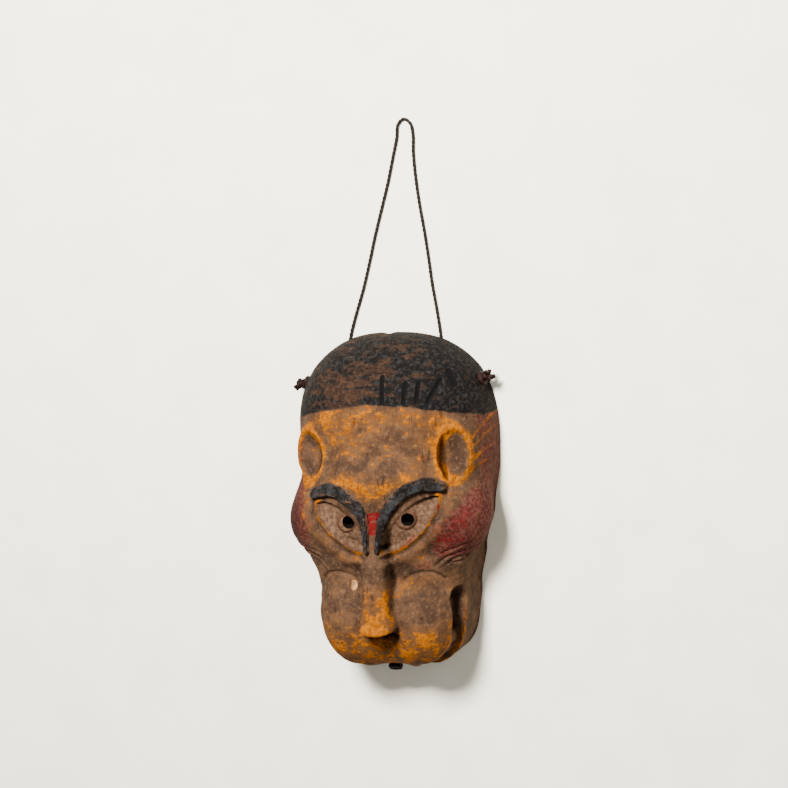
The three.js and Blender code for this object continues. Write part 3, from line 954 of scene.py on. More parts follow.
@dataclass
class CarvedMask:
    """The mask: one hollow piece of wood with its paint."""

    carving: Carving
    grid: GridBox = GridBox((19, 10), (25, 10), (20, 1))
    inner: GridBox = GridBox((12, 6), (15, 6), (9, 1))
    pupil_radius: float = 6.0
    strap_radius: float = 3.1
    arch_middle: float = 3.0
    arch_half: float = 82.0
    arch_rise: float = 6.0

    def build(self) -> bpy.types.Object:
        """Carve the mask.

        Returns:
            The finished mask.
        """
        mask = self.carve_outside()
        self.cut_hollow(mask)
        self.cut_holes(mask)
        to_triangles(mask)
        self.store_paint(mask)
        pick(mask)
        bpy.ops.object.shade_smooth_by_angle(angle=math.radians(38))
        mask.data.materials.clear()
        mask.data.materials.append(WornPaint().material())
        hand_over(mask, "mask")
        return mask

    def carve_outside(self) -> bpy.types.Object:
        """Push the fine grid onto the form and add tool marks."""
        mask = self.grid.make("carved_mask")
        shape(mask, push_onto(coordinates(mask), self.carving.outside, 0.0))
        GridBox.drop_floor(mask)
        p, n = measured(mask), normals(mask)
        lift = np.clip(p[2] / 6.0, 0.0, 1.0)
        brow = ease(p[1], 26, 40) * (1.0 - ease(p[1], 88, 100)) * (1.0 - ease(np.abs(p[0]), 44, 56))
        marks = (0.34 + 0.5 * brow) * lattice_noise(p * ALONG_GRAIN, 11.0, 3)
        marks += (0.15 + 0.15 * brow) * lattice_noise(p, 3.4, 5)
        notch = 2.6 * dab(p[0], p[2], (-2.0, 3.0), (4.5, 7.0)) * (p[1] > 140)
        p = p + n * (marks - notch) * lift
        p[2] = np.maximum(p[2], 0.0)
        shape(mask, p)
        return mask

    def cut_hollow(self, mask: bpy.types.Object) -> None:
        """Scoop out the back, with gouge marks, and relieve the crown's rim."""
        hollow = self.inner.make("hollow_cutter")
        p = push_onto(coordinates(hollow), self.carving.hollow, 6.0)
        shape(hollow, p)
        gouge = 0.9 * np.abs(lattice_noise(p * ALONG_GOUGE, 15.0, 9))
        shape(hollow, p - normals(hollow) * gouge * np.clip(p[2] / 8.0, 0.0, 1.0))
        GridBox.drop_floor(hollow)
        carve_away(mask, hollow)
        arch = rod("arch_cutter", 1.0, 94.0, (self.arch_middle, 143.0, 0.0), (0.0, 1.0, 0.0), 64)
        p = measured(arch)
        p[0] = self.arch_middle + (p[0] - self.arch_middle) * self.arch_half
        p[2] = p[2] * self.arch_rise
        shape(arch, p)
        carve_away(mask, arch)

    def cut_holes(self, mask: bpy.types.Object) -> None:
        """Drill the pupils and the strap holes."""
        for x, y in PUPILS:
            carve_away(mask, rod("pupil_drill", self.pupil_radius, 80.0, (x, y, 80.0), (0.0, 0.0, 1.0), 40))
        for side in Side:
            carve_away(mask, rod("strap_drill", self.strap_radius, 60.0, *self.carving.strap(side)))
        carve_away(mask, rod("chin_drill", self.strap_radius, 60.0, CHIN_HOLE, CHIN_ALONG))

    def store_paint(self, mask: bpy.types.Object) -> None:
        """Store where each layer of paint and painted shade lies, how hollow the surface is and where edges
        rub.
        """
        layers = PaintPlan(self.carving).layers(measured(mask))
        layers["cavity"], layers["ridge"] = self.curvature(mask)
        for name, values in layers.items():
            store(mask, name, values)

    @staticmethod
    def curvature(mask: bpy.types.Object) -> tuple[np.ndarray, np.ndarray]:
        """How hollow and how sharp the surface is at each point, from 0 to 1."""
        p, n = coordinates(mask) / MM, normals(mask)
        a, b = edge_ends(mask).T
        d = p[:, b] - p[:, a]
        length2 = np.maximum((d**2).sum(0), 0.2)
        bend = ((n[:, b] - n[:, a]) * d).sum(0) / length2
        size = p.shape[1]
        share = np.maximum(np.bincount(a, minlength=size) + np.bincount(b, minlength=size), 1)
        curve = (np.bincount(a, bend, size) + np.bincount(b, bend, size)) / share
        wide = curve.copy()
        for turn in range(9):
            wide = (np.bincount(a, wide[b], size) + np.bincount(b, wide[a], size)) / share
            if turn == 2:
                near = wide.copy()
        return np.clip(-wide * 5.0 - near * 3.0, 0.0, 1.0), np.clip(near * 7.0, 0.0, 1.0)


@dataclass
class PaintPlan:
    """Where each layer of paint and of painted shade lies on the mask, from 0 to 1."""

    carving: Carving

    def hairline(self, x: np.ndarray) -> np.ndarray:
        """Height of the cap's front edge."""
        return 111.0 - 15.0 * (x / 84.0) ** 2

    def layers(self, p: np.ndarray) -> dict[str, np.ndarray]:
        """Work out every layer.

        Args:
            p: The mask's points, in carver's millimetres.

        Returns:
            A value for each point, by layer.
        """
        y, z = p[1], p[2]
        across = p[0] - self.carving.lean(y)
        x = np.abs(across)
        level = self.carving.level(across, y)
        wobble = 1.4 * lattice_noise(p, 9.0, 21) + 0.7 * lattice_noise(p, 3.0, 22)
        skin = ease(self.carving.outside(p), -4.0, -1.6)
        front = ease(z, 30, 46) * skin
        cap = ease(y + wobble * 0.7 - self.hairline(across), -0.8, 0.8) * skin
        brow = self.carving.brow_shape(x, level) * front * (y < 60)
        eye = 1.0 - ease(self.carving.almond(x, level), 0.9, 1.05)
        eye = eye * front * (1.0 - brow)
        edge = np.where(across > 0, 53.0 + 0.55 * (y + 30.0), 78.0)
        band = (1.0 - ease(y, 92, 100)) * ease(y + 0.12 * x, -38, -22)
        side = np.maximum(ease(x - edge, -6, 12), 1.0 - ease(z, 40, 56)) * band * skin
        lid, _ = line_distance(x, level, FaceLines.lid)
        half = 4.0 + 0.11 * (level + 27.0) + wobble * 1.2
        bridge = (1.0 - ease(x - half, -1.5, 1.5)) * ease(level, -34, -24)
        bridge *= (1.0 - ease(level + wobble, 8, 15)) * (1.0 - brow)
        recess = self.mouth_depth(x, y, z)
        ochre = self.ochre(across, y, z, skin, front, cap, lid, brow, eye)
        ochre = ochre * (1.0 - cap) * skin * (1.0 - brow) * (1.0 - 0.9 * eye) * (1.0 - 0.85 * recess)
        scarlet = self.scarlet(across, y, z, front, side, lid)
        scarlet += 0.74 * bridge * (0.62 + 0.38 * ease(level, -18, -2))
        crimson = 0.7 * side + 0.95 * dab(across, y, (-88, -8), (26, 38)) * skin
        crimson += 0.5 * dab(across, y, (40, -46), (22, 6)) * front
        crimson += 0.62 * dab(across, y, (70, -12), (34, 30)) * (across > 0) * front + 0.32 * recess
        soot = 0.88 - 0.5 * dab(across, y, (-34, 124), (36, 18)) - 0.3 * dab(across, y, (4, 140), (30, 12))
        soot = cap * (soot - 0.16 * ease(y, 146, 160) * (1.0 - ease(across, 30, 70)))
        soot = np.maximum(soot, 0.97 * brow * (1.0 - 0.22 * dab(x, y, (26, 22), (9, 9))))
        tear = bump(x - 9.0 + 0.18 * (level + 25), 1.1) * ease(level, -32, -26) * (1 - ease(level, 2, 10))
        ink = np.maximum(self.strokes(across, y, HAIR_CUTS, 1.5, 0.0, 2.3) * cap, 0.8 * tear)
        pupil = np.minimum(*(np.hypot(p[0] - u, y - v) for u, v in PUPILS))
        chip = (1.0 - ease(self.carving.chip(across, y) + wobble * 0.14, 0.85, 1.05)) * front
        chin_nick = dab(across, y, (34, -146), (2.2, 2.2)) * (z > 50)
        return {
            "soot": soot * skin,
            # Black ink for hair strokes and lines, and painted shade on the pupil holes' walls.
            "ink": np.maximum(ink * skin, 1.0 - ease(pupil, 6.1, 6.6)),
            "cap": cap,
            "brow": brow,
            "ochre": np.clip(ochre, 0, 1.3),
            "scarlet": np.clip(scarlet * (1.0 - cap), 0, 1.2),
            "crimson": np.clip(crimson * (1.0 - cap), 0, 1),
            "flesh": eye,
            "chip": np.clip(np.maximum(chip, chin_nick), 0, 1),
            "iris": bump(np.hypot(x - 30.4, level) - 8.6, 2.0) * eye,
            # Painted shade under the nose, in the mouth's recess and beside the chip; darker in the ears'
            # slits and on one cheek.
            "grime": self.grime(across, y, z, front, recess) * skin,
        }

    def ochre(
        self, across: np.ndarray, y: np.ndarray, z: np.ndarray, skin: np.ndarray, front: np.ndarray,
        cap: np.ndarray, lid: np.ndarray, brow: np.ndarray, eye: np.ndarray,
    ) -> np.ndarray:
        """Yellow paint: the forehead, the rims of the eyes and ears, the muzzle and the nose's tip.

        Args:
            across: Places across, from the leaning middle line.
            y: Places along.
            z: Places out of the face.
            skin: Where the outside is.
            front: Where the front of the face is.
            cap: Where the cap is.
            lid: Distance from the lower lid.
            brow: Where the brows are.
            eye: Where the eyes are.

        Returns:
            How thick the paint is.
        """
        x = np.abs(across)
        ridge, _ = line_distance(x, self.carving.level(across, y), FaceLines.ridge)
        forehead = ease(y, 24, 36) * (1.0 - cap) * (1.0 - ease(x, 66, 80))
        muzzle = 1.0 - ease(y, -62, -50)
        nose = (1.0 - ease(x - 17.0, -1.0, 2.0)) * ease(z, 92, 97) * (y < -30)
        tip = nose * (1.0 - ease(y + x * 1.1, -89.0, -86.0))
        top = 0.36 + 0.19 * bump(y - self.hairline(across) + 9.0, 10.0)
        top += 0.18 * dab(across, y, (-34, 84), (26, 22)) + 0.22 * dab(across, y, (58, 70), (12, 30))
        paint = forehead * top
        paint += 0.44 * bump(y - 38.0 + 0.02 * (x - 30) ** 2, 7.0) * (y > 24) * front * (1 - brow)
        paint += 0.3 * dab(across, y, (0, 20), (16, 22)) * front
        paint += 0.62 * bump(lid - 2.4, 1.7) * front * (1.0 - eye) * (1.0 - brow)
        paint += 0.3 * bump(ridge, 7.0) * front * (y < 26)
        paint += muzzle * front * (0.32 + 0.36 * ease(-y, 92, 128))
        paint += self.strokes(across, y, EAR_STROKES, 0.85, 0.35, 1.8) * skin
        paint += 0.3 * front * dab(across, y, (36, -60), (20, 10))
        paint = paint * (1.0 - 0.75 * nose) + 0.56 * nose * ease(-y, 44, 80) + 1.3 * tip
        paint += self.ear_ring(x, y, z) + 0.14 * bump(z - 44.0, 3.0) * (y < -68) * skin
        return paint + 0.18 * (1.0 - muzzle) * front * (y < 26)

    @staticmethod
    def scarlet(
        across: np.ndarray, y: np.ndarray, z: np.ndarray, front: np.ndarray, side: np.ndarray, lid: np.ndarray
    ) -> np.ndarray:
        """Bright red dabs on the cheeks, the lids and the mouth's edge.

        Args:
            across: Places across, from the leaning middle line.
            y: Places along.
            z: Places out of the face.
            front: Where the front of the face is.
            side: Where the red sides are.
            lid: Distance from the lower lid.

        Returns:
            How thick the paint is.
        """
        x = np.abs(across)
        left = side * (across > 0)
        paint = 0.66 * dab(x, y, (60, 14), (4.5, 4.5)) * front
        paint += 0.6 * bump(lid - 0.5, 1.8) * ease(x, 18, 24) * (1.0 - ease(x, 34, 42)) * front
        paint += 0.58 * (across > 0) * front * dab(across, y, (66, -20), (24, 11))
        paint += 0.56 * left * dab(across, y, (80, 4), (16, 16))
        paint += 0.42 * left * dab(across, y, (90, 56), (12, 30))
        paint += 0.3 * side * (across < 0) * dab(across, y, (-88, -10), (16, 14))
        edge = bump(z - 45.2, 1.0) * ease(-y, 74, 80) * (1.0 - ease(-y, 112, 124))
        return paint + 0.5 * edge * (x > 50)

    def grime(
        self, across: np.ndarray, y: np.ndarray, z: np.ndarray, front: np.ndarray, recess: np.ndarray
    ) -> np.ndarray:
        """Painted shade under the nose, in the mouth's recess and beside the chip; darker in the ears' slits
        and on one cheek.

        Args:
            across: Places across, from the leaning middle line.
            y: Places along.
            z: Places out of the face.
            front: Where the front of the face is.
            recess: How deep in the mouth a point is.

        Returns:
            How much darker it is.
        """
        x = np.abs(across)
        in_ear = 0.55 - 0.55 * ease(self.carving.ear_deep.distance(x, y, z), -0.5, 2.5)
        # Painted shadow under the nose's tip.
        under_nose = 0.8 * bump(y + 112.5, 3.0) * (1.0 - ease(x, 13, 20)) * (z > 70)
        # Painted shadow on the chip's left wall.
        by_chip = 0.9 * dab(across, y, (-30.4, -63), (1.7, 4)) * front
        cheek = dab(across, y, (-96, -8), (24, 56))
        # Part of the mouth's depth is painted shade in its recess.
        return np.maximum.reduce([in_ear, under_nose, 0.42 * recess, cheek, by_chip])

    def ear_ring(self, x: np.ndarray, y: np.ndarray, z: np.ndarray) -> np.ndarray:
        """The ear's raised rim."""
        ear = self.carving.ear
        c, s = math.cos(math.radians(ear.turn)), math.sin(math.radians(ear.turn))
        dx, dz = x - ear.at[0], z - ear.at[2]
        r = np.hypot((dx * c - dz * s) / ear.radii[0], (y - ear.at[1]) / ear.radii[1])
        return bump(r - 0.88, 0.2) * ((dx * s + dz * c) > -6.0)

    def mouth_depth(self, x: np.ndarray, y: np.ndarray, z: np.ndarray) -> np.ndarray:
        """How deep in the mouth's recess a point is, from 0 to 1."""
        return np.clip(self.carving.mouth(x, y, z) / 8.0, 0, 1)

    @staticmethod
    def strokes(
        across: np.ndarray, y: np.ndarray, lines: Sequence[Sequence[float]],
        full: float, fade: float, wide: float,
    ) -> np.ndarray:
        """Straight brush strokes.

        Args:
            across: Places across, from the leaning middle line.
            y: Places along.
            lines: Each stroke's two ends.
            full: How thick the paint is where a stroke starts.
            fade: How much thinner it is where it ends.
            wide: How wide a stroke is.

        Returns:
            How thick the paint is.
        """
        best = np.zeros_like(across)
        for ends in lines:
            d, run = stroke_distance(across, y, ends)
            best = np.maximum(best, (full - fade * run) * bump(d, wide))
        return best


def blend(u: np.ndarray, v: np.ndarray, start: float, end: float, t: np.ndarray) -> np.ndarray:
    """Go from one value to another as t goes from start to end."""
    return (end - t) / (end - start) * u + (t - start) / (end - start) * v


def through(points: Sequence[Place], spacing: float) -> np.ndarray:
    """Draw an even-stepped centripetal curve through points in space.

    Args:
        points: The points that the curve passes.
        spacing: About how far apart its steps are.

    Returns:
        The curve's points, one to a row.
    """
    p = np.array(points, float)
    p = np.vstack([2 * p[0] - p[1], p, 2 * p[-1] - p[-2]])
    dense = []
    for i in range(1, len(p) - 2):
        a, b, c, d = p[i - 1 : i + 3]
        gaps = [math.sqrt(np.linalg.norm(end - start)) for start, end in ((a, b), (b, c), (c, d))]
        knots = [0.0, *itertools.accumulate(gaps)]
        t = np.linspace(knots[1], knots[2], 25)[:-1, None]
        level = [a, b, c, d]
        for reach in (1, 2):
            level = [blend(level[k], level[k + 1], knots[k], knots[k + reach], t) for k in range(4 - reach)]
        dense.append(blend(level[0], level[1], knots[1], knots[2], t))
    line = np.vstack([*dense, p[-2:-1]])
    run = np.concatenate([[0.0], np.cumsum(np.linalg.norm(np.diff(line, axis=0), axis=1))])
    even = np.linspace(0.0, run[-1], max(3, int(run[-1] / spacing) + 1))
    return np.stack([np.interp(even, run, line[:, k]) for k in range(3)], axis=1)


@dataclass
class Strand:
    """A tube along a line: a cord, a thong or a curled tail."""

    points: Sequence[Place]
    radius: float
    spacing: float = 0.8
    sides: int = 12
    lobes: int = 0
    groove: float = 0.0
    pitch: float = 8.0
    flat: float = 1.0
    taper: float = 0.0

    def steps(self) -> tuple[int, int]:
        """Split the tube's length into two passes of even cuts."""
        count = len(through(self.points, self.spacing)) - 1
        first = max(1, round(math.sqrt(count)))
        return first, max(1, math.ceil(count / first))

    def line(self) -> np.ndarray:
        """The tube's centreline, one point to a row."""
        first, second = self.steps()
        rough = through(self.points, self.spacing)
        run = np.linspace(0.0, 1.0, len(rough))
        even = np.linspace(0.0, 1.0, first * second + 1)
        return np.stack([np.interp(even, run, rough[:, k]) for k in range(3)], axis=1)

    def build(self, name: str) -> bpy.types.Object:
        """Add a rod, cut it along its length and lead it along the line.

        Args:
            name: The object's name.

        Returns:
            The tube, in carver's millimetres about the part's origin, as a mesh in metres.
        """
        first, second = self.steps()
        pick_nothing()
        bpy.ops.mesh.primitive_cylinder_add(vertices=self.sides, radius=1.0, depth=2.0)
        tube = bpy.context.object
        tube.name = name
        bpy.ops.object.mode_set(mode="EDIT")
        bpy.ops.mesh.select_mode(type="EDGE")
        for count in (first, second):
            cut_evenly(tube, 2, count)
        bpy.ops.object.mode_set(mode="OBJECT")
        p = coordinates(tube)
        groove = self.lead(p)
        shape(tube, p)
        store(tube, "groove", groove)
        bpy.ops.object.mode_set(mode="EDIT")
        bpy.ops.mesh.select_all(action="SELECT")
        bpy.ops.mesh.normals_make_consistent(inside=False)
        bpy.ops.object.mode_set(mode="OBJECT")
        return tube

    def lead(self, p: np.ndarray) -> np.ndarray:
        """Move the rod's points onto the line, twisting and tapering them.

        Args:
            p: The rod's points, changed in place.

        Returns:
            How deep in a groove each point is.
        """
        line = self.line()
        last = len(line) - 1
        ahead = np.gradient(line, axis=0)
        ahead /= np.linalg.norm(ahead, axis=1)[:, None]
        across = np.zeros_like(line)
        side = np.cross(ahead[0], (0.0, 0.0, 1.0) if abs(ahead[0][2]) < 0.9 else (1.0, 0.0, 0.0))
        for i, direction in enumerate(ahead):
            side = side - direction * side.dot(direction)
            side /= np.linalg.norm(side)
            across[i] = side
        up = np.cross(ahead, across)
        row = np.clip(np.rint((p[2] + 1.0) / 2.0 * last).astype(int), 0, last)
        angle = np.arctan2(p[1], p[0])
        travelled = row / last * np.linalg.norm(np.diff(line, axis=0), axis=1).sum()
        turned = (angle - travelled * 2 * math.pi / self.pitch) * self.lobes / 2.0
        deep = (1.0 - np.abs(np.sin(turned))) ** 1.5 if self.lobes else np.zeros_like(angle)
        end = row / last
        thick = self.radius * (1.0 - self.groove * deep) * (1.0 - self.taper * ease(end, 0.25, 1.0))
        thick = thick * np.hypot(p[0], p[1])
        sideways = across[row] * (np.cos(angle) * thick)[:, None]
        p[:] = (line[row] + sideways + up[row] * (np.sin(angle) * thick * self.flat)[:, None]).T
        return deep


def joined(name: str, pieces: Sequence[bpy.types.Object], finish: bpy.types.Material) -> bpy.types.Object:
    """Join objects into one and dress it.

    Args:
        name: The new piece's name.
        pieces: What it is joined from.
        finish: Its material.

    Returns:
        The joined piece.
    """
    pick(pieces[0])
    for piece in pieces:
        piece.select_set(True)
    bpy.ops.object.join()
    whole = bpy.context.object
    whole.name = name
    bpy.ops.object.shade_smooth_by_angle(angle=math.radians(50))
    whole.data.materials.clear()
    whole.data.materials.append(finish)
    return whole


@dataclass
class LocalFrame:
    """A place on the mask with a direction out of it."""

    at: Place
    out: Place
    droop: float = 0.0

    def __post_init__(self) -> None:
        """Work out the two directions across."""
        self.out = np.array(self.out) / np.linalg.norm(self.out)
        self.side = np.cross((0.0, 0.0, 1.0), self.out)
        self.side /= np.linalg.norm(self.side)
        self.up = np.cross(self.out, self.side)

    def point(self, side: float, up: float, out: float) -> Place:
        """A point given across, up and out of the place."""
        spot = np.array(self.at) + self.side * side + self.up * up + self.out * out
        spot[1] -= self.droop * max(0.0, out - 1.0)
        return (float(spot[0]), float(spot[1]), float(spot[2]))


@dataclass
class TempleTie:
    """A leather thong through the temple, knotted outside and in."""

    carving: Carving
    side: Side
    wall: float = 17.5
    lift: float = 3.2

    def frame(self) -> LocalFrame:
        """Where the thong leaves the mask."""
        droop = {Side.LEFT: 0.1, Side.RIGHT: 0.62}[self.side]
        return LocalFrame(*self.carving.strap(self.side), droop)

    def build(self, name: str, node: str, finish: bpy.types.Material) -> bpy.types.Object:
        """Wind the thong.

        Args:
            name: The piece's name.
            node: The construction node that it stands for.
            finish: Its leather.

        Returns:
            The tie.
        """
        spot = self.frame()
        parts = [self.stem(spot, self.wall, -8, 7)]
        parts.append(self.coil(spot, 4.6, self.lift + 0.6, 2.0, 2.9, 1.25, 0.4))
        parts.append(self.coil(spot, 2.9, self.lift + 5.2, 2.2, 2.3, 1.15, 2.6))
        starts = {Side.LEFT: 0.5, Side.RIGHT: 1.1}[self.side]
        tails = ((0.0, 11.4, 6.4, 3.1), (1.5, 10.4, 7.0, 2.8), (3.0, 12.4, 4.2, 3.3), (4.6, 9.6, 6.6, 2.8))
        for turn, out, spread, thick in tails:
            parts.append(self.tail(spot, turn + starts, out, spread, thick))
        parts += self.inner_knot(spot, self.wall)
        tie = joined(name, [strand.build(f"{name}_strand") for strand in parts], finish)
        hand_over(tie, node)
        return tie

    @staticmethod
    def stem(spot: LocalFrame, wall: float, middle: float, end: float) -> Strand:
        """The straight thong through the wall, to a little beyond it inside."""
        return Strand([spot.point(0, 0, out) for out in (-wall - 6.0, middle, end)], 2.3, 1.4, 10)

    @staticmethod
    def inner_knot(spot: LocalFrame, wall: float) -> list[Strand]:
        """The two turns that hold the thong inside the mask."""
        inner = -(wall + 6.0)
        return [
            TempleTie.coil(spot, 2.5, inner - 1.8, 1.1, 2.0, 1.4, 0.0),
            TempleTie.coil(spot, 2.2, inner + 1.8, 1.1, 2.1, 1.2, 1.9),
        ]

    @staticmethod
    def coil(
        spot: LocalFrame, wide: float, out: float, rise: float, thick: float, turns: float, start: float
    ) -> Strand:
        """A turn or so of thong about the hole's line.

        Args:
            spot: The hole.
            wide: Radius of the turn.
            out: How far out its middle is.
            rise: How far it climbs.
            thick: Half the thong's width.
            turns: How many turns it makes.
            start: Angle at which it starts.

        Returns:
            The strand.
        """
        points = []
        count = max(6, round(turns * 9))
        for i in range(count + 1):
            run = i / count
            angle = start + 2 * math.pi * turns * run
            tuck = 0.55 + 0.45 * math.sin(math.pi * min(1.0, max(0.0, run * 1.02)))
            reach = wide * (0.35 + 0.65 * min(1.0, tuck * 1.1))
            place = out + rise * (run - 0.5)
            points.append(spot.point(reach * math.cos(angle), reach * math.sin(angle), place))
        return Strand(points, thick, 0.9, 10, lobes=3, groove=0.14, pitch=30.0, flat=0.86)

    @staticmethod
    def tail(spot: LocalFrame, turn: float, out: float, spread: float, thick: float) -> Strand:
        """A short curled end of thong, cut to a point."""
        c, s = math.cos(turn), math.sin(turn)
        points = [
            spot.point(0.6 * c, 0.6 * s, 6.6),
            spot.point(0.45 * spread * c, 0.45 * spread * s, 6.6 + 0.45 * (out - 3)),
            spot.point(0.8 * spread * c - 0.8 * s, 0.8 * spread * s + 0.8 * c, 6.6 + 0.8 * (out - 3)),
            spot.point(spread * c - 2.2 * s, spread * s + 2.2 * c, 6.2 + out - 3),
        ]
        return Strand(points, thick, 0.7, 10, lobes=2, groove=0.25, pitch=26.0, flat=0.62, taper=0.34)


@dataclass
class ChinTie:
    """A black thong through the chin, with a flat rolled knot outside."""

    wall: float = 23.0

    def build(self, finish: bpy.types.Material) -> bpy.types.Object:
        """Wind the thong.

        Args:
            finish: Its leather.

        Returns:
            The tie.
        """
        spot = LocalFrame(CHIN_HOLE, CHIN_ALONG)
        parts = [TempleTie.stem(spot, self.wall, -9, 6)]
        for up, out in ((-1.4, 2.9), (1.4, 2.9), (0.0, 5.0)):
            rise = ((-5.8, 1.0, -0.4), (-3.0, 1.2, 0.2), (0.0, 1.0, 0.4), (3.0, 1.2, 0.2), (5.8, 1.0, -0.4))
            bar = [spot.point(side, up * swell, out + lift) for side, swell, lift in rise]
            parts.append(Strand(bar, 2.4, 0.9, 12, lobes=2, groove=0.1, pitch=40.0))
        parts.append(TempleTie.coil(spot, 3.2, 4.0, 0.8, 1.6, 1.1, 0.5))
        parts += TempleTie.inner_knot(spot, self.wall)
        tie = joined("chin_thong", [strand.build("chin_strand") for strand in parts], finish)
        hand_over(tie, "chin_tie")
        return tie


@dataclass
class HangingCord:
    """The twisted cord that the mask hangs by, laid out past the crown."""

    carving: Carving
    diameter: float = 3.2
    knot_inset: float = 32.7
    route: Sequence[Place] = (
        (55.9, 107.6, 12), (53, 108.4, 8.8), (49.6, 112.4, 5), (48, 120, 2.5), (48, 132, 1.8),
        (48.6, 146, 1.8), (49, 162, 1.8), (47, 188, 1.8), (44.2, 214, 1.8), (42.4, 240, 1.8),
        (40.2, 266, 1.8), (37.4, 292, 1.8), (35.6, 318, 1.8), (35.2, 342, 1.8), (36.2, 358, 1.8),
        (34.4, 369, 1.8), (28.2, 373.6, 1.8), (21.9, 368.4, 1.8), (19.6, 356, 1.8), (14.4, 338, 1.8),
        (7.4, 314, 1.8), (-1.4, 288, 1.8), (-10.2, 262, 1.8), (-18.2, 236, 1.8), (-26.8, 210, 1.8),
        (-36.4, 185, 1.8), (-43.6, 164, 1.8), (-46.4, 147, 1.8), (-46.8, 133, 1.8), (-46.8, 121, 2.5),
        (-46.8, 112.4, 4.8), (-47.4, 108.4, 8.6), (-49.7, 107.6, 12),
    )

    def build(self, finish: bpy.types.Material) -> bpy.types.Object:
        """Twist the cord and tie its knots.

        Args:
            finish: The cord's fibre.

        Returns:
            The cord.
        """
        strand = Strand(self.route, self.diameter / 2.0 * 1.04, 0.62, 12, lobes=2, groove=0.3, pitch=9.0)
        cord = joined("twisted_cord", [strand.build("cord_strand")], finish)
        hand_over(cord, "hanging_cord")
        knots = [self.knot(side, f"cord_knot_{side.name.lower()}", finish) for side in Side]
        path = (strand.line()[::4] - CENTRE) * MM
        return cord

    def knot(self, side: Side, node: str, finish: bpy.types.Material) -> bpy.types.Object:
        """Tie one end's knot against the thong inside the mask."""
        spot = TempleTie(self.carving, side).frame()
        around = 28
        points = []
        for i in range(around + 1):
            t = 2 * math.pi * i / around
            reach = 1.75 + 0.9 * math.cos(3 * t)
            out = 1.5 * math.sin(3 * t) - self.knot_inset
            points.append(spot.point(reach * math.cos(2 * t), reach * math.sin(2 * t), out))
        strand = Strand(points, 1.45, 0.6, 10, lobes=2, groove=0.3, pitch=9.0)
        knot = joined(f"tied_{node}", [strand.build("knot_strand")], finish)
        hand_over(knot, node)
        return knot


@dataclass(frozen=True)
class Lamp:
    """A square soft light, placed to the picture's right, up and back towards the camera, in metres."""

    name: str
    offset: Place
    size: float
    power: float


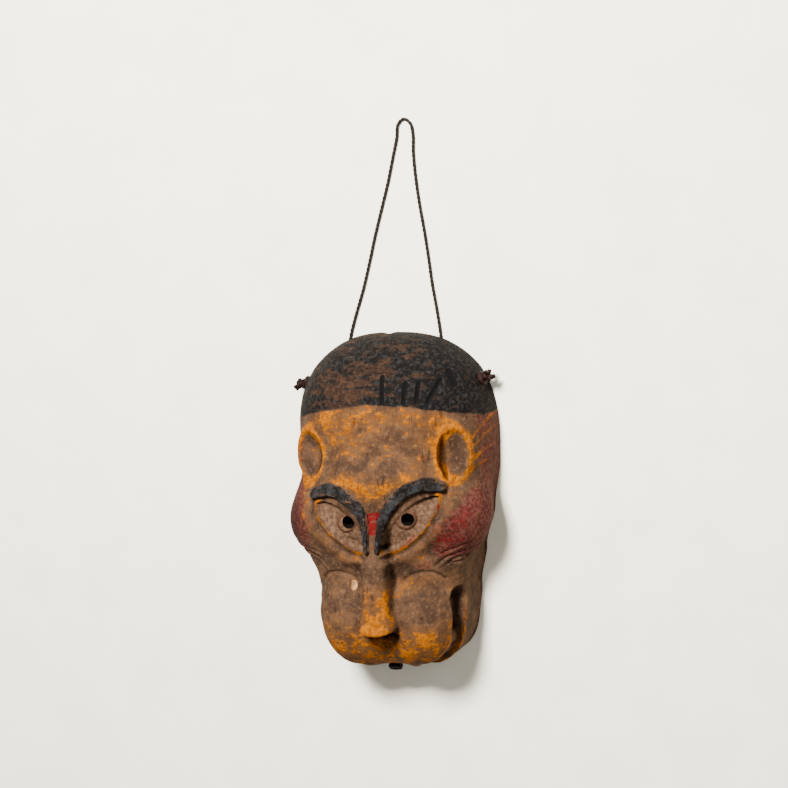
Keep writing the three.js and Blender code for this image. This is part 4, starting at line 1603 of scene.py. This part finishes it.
@dataclass
class Studio:
    """A pale floor, soft light and the camera."""

    turn: float = 20.0
    tilt: float = 10.0
    roll: float = 4.5
    aim: Place = (0.0089, 0.1098, 0.040)
    distance: float = 3.0
    lens: float = 143.0
    floor: Colour = tint(246, 240, 222)
    floor_mottle: Colour = tint(240, 233, 213)
    lamps: Sequence[Lamp] = (
        Lamp("key", (-0.72, 0.78, 1.66), 0.46, 212.0),
        Lamp("fill", (0.9, 0.2, 1.7), 1.6, 14.0),
    )
    room_light: float = 0.3

    def axes(self) -> tuple[Vector, Vector, Vector]:
        """The picture's right and up, and the way back to the camera."""
        a, b, r = (math.radians(v) for v in (self.turn, self.tilt, self.roll))
        right = Vector((math.cos(a), 0.0, -math.sin(a)))
        up = Vector((-math.sin(a) * math.sin(b), math.cos(b), -math.cos(a) * math.sin(b)))
        back = Vector((math.sin(a) * math.cos(b), math.sin(b), math.cos(a) * math.cos(b)))
        rolled_right = right * math.cos(r) - up * math.sin(r)
        rolled_up = right * math.sin(r) + up * math.cos(r)
        return rolled_right, rolled_up, back

    def build(self) -> None:
        """Set out the camera, the lights and the floor."""
        right, up, back = self.axes()
        sight = bpy.data.cameras.new("camera")
        sight.lens = self.lens
        sight.sensor_width = 36.0
        sight.clip_end = 20.0
        camera = bpy.data.objects.new("camera", sight)
        place = Vector(self.aim) + back * self.distance
        camera.matrix_world = Matrix.Translation(place) @ Matrix((right, up, back)).transposed().to_4x4()
        bpy.context.collection.objects.link(camera)
        bpy.context.scene.camera = camera
        for lamp in self.lamps:
            self.hang(lamp, right * lamp.offset[0] + up * lamp.offset[1] + back * lamp.offset[2])
        self.world(self.room_light)
        self.lay_floor()

    def hang(self, lamp: Lamp, offset: Vector) -> None:
        """Hang one light so that it looks at the mask.

        Args:
            lamp: The light.
            offset: Where it is from the mask.
        """
        light = bpy.data.lights.new(lamp.name, "AREA")
        light.size = lamp.size
        light.energy = lamp.power
        light.color = (1.0, 0.985, 0.96)
        holder = bpy.data.objects.new(lamp.name, light)
        target = Vector((0.0, 0.02, 0.05))
        holder.location = target + offset
        holder.rotation_euler = offset.to_track_quat("Z", "Y").to_euler()
        bpy.context.collection.objects.link(holder)

    def world(self, strength: float) -> None:
        """Fill the room with even pale light."""
        room = bpy.data.worlds.new("room")
        room.use_nodes = True
        light = room.node_tree.nodes["Background"]
        light.inputs["Color"].default_value = (1.0, 0.985, 0.955, 1.0)
        light.inputs["Strength"].default_value = strength
        bpy.context.scene.world = room

    def lay_floor(self) -> None:
        """Lay the plain pale floor."""
        pick_nothing()
        bpy.ops.mesh.primitive_plane_add(size=8.0, location=(0.0, 0.0, 0.0))
        floor = bpy.context.object
        floor.name = "studio_floor"
        s = Shader("pale_floor")
        mottle = s.noise(14.0, 5.0, 0.6)
        tooth = s.noise(220.0, 4.0, 0.6)
        colour = s.mix(mottle.eased(0.35, 0.7), self.floor, self.floor_mottle)
        s.finish(colour, 0.85, tooth, 0.25, 0.0006)
        floor.data.materials.append(s.material)


def main() -> None:
    """Load the frame, build every piece, light it and hand it over."""
    logging.basicConfig(level=logging.INFO, format="%(name)s: %(message)s")
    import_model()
    carving = Carving()
    Studio().build()
    cord = HangingCord(carving).build(DarkCord().material())
    brown = DryLeather("red_brown_thong", tint(10, 3, 2), tint(33, 10, 5), 0.5).material()
    black = DryLeather("black_thong", tint(6, 4, 4), tint(15, 11, 10), 0.4).material()
    pieces = [
        cord,
        TempleTie(carving, Side.LEFT).build("left_temple_thong", "left_tie", brown),
        TempleTie(carving, Side.RIGHT).build("right_temple_thong", "right_tie", brown),
        ChinTie().build(black),
        CarvedMask(carving).build(),
    ]
    for piece in pieces:
        log.info("%s: %d faces", piece.name, len(piece.data.polygons))


if __name__ == "__main__":
    main()
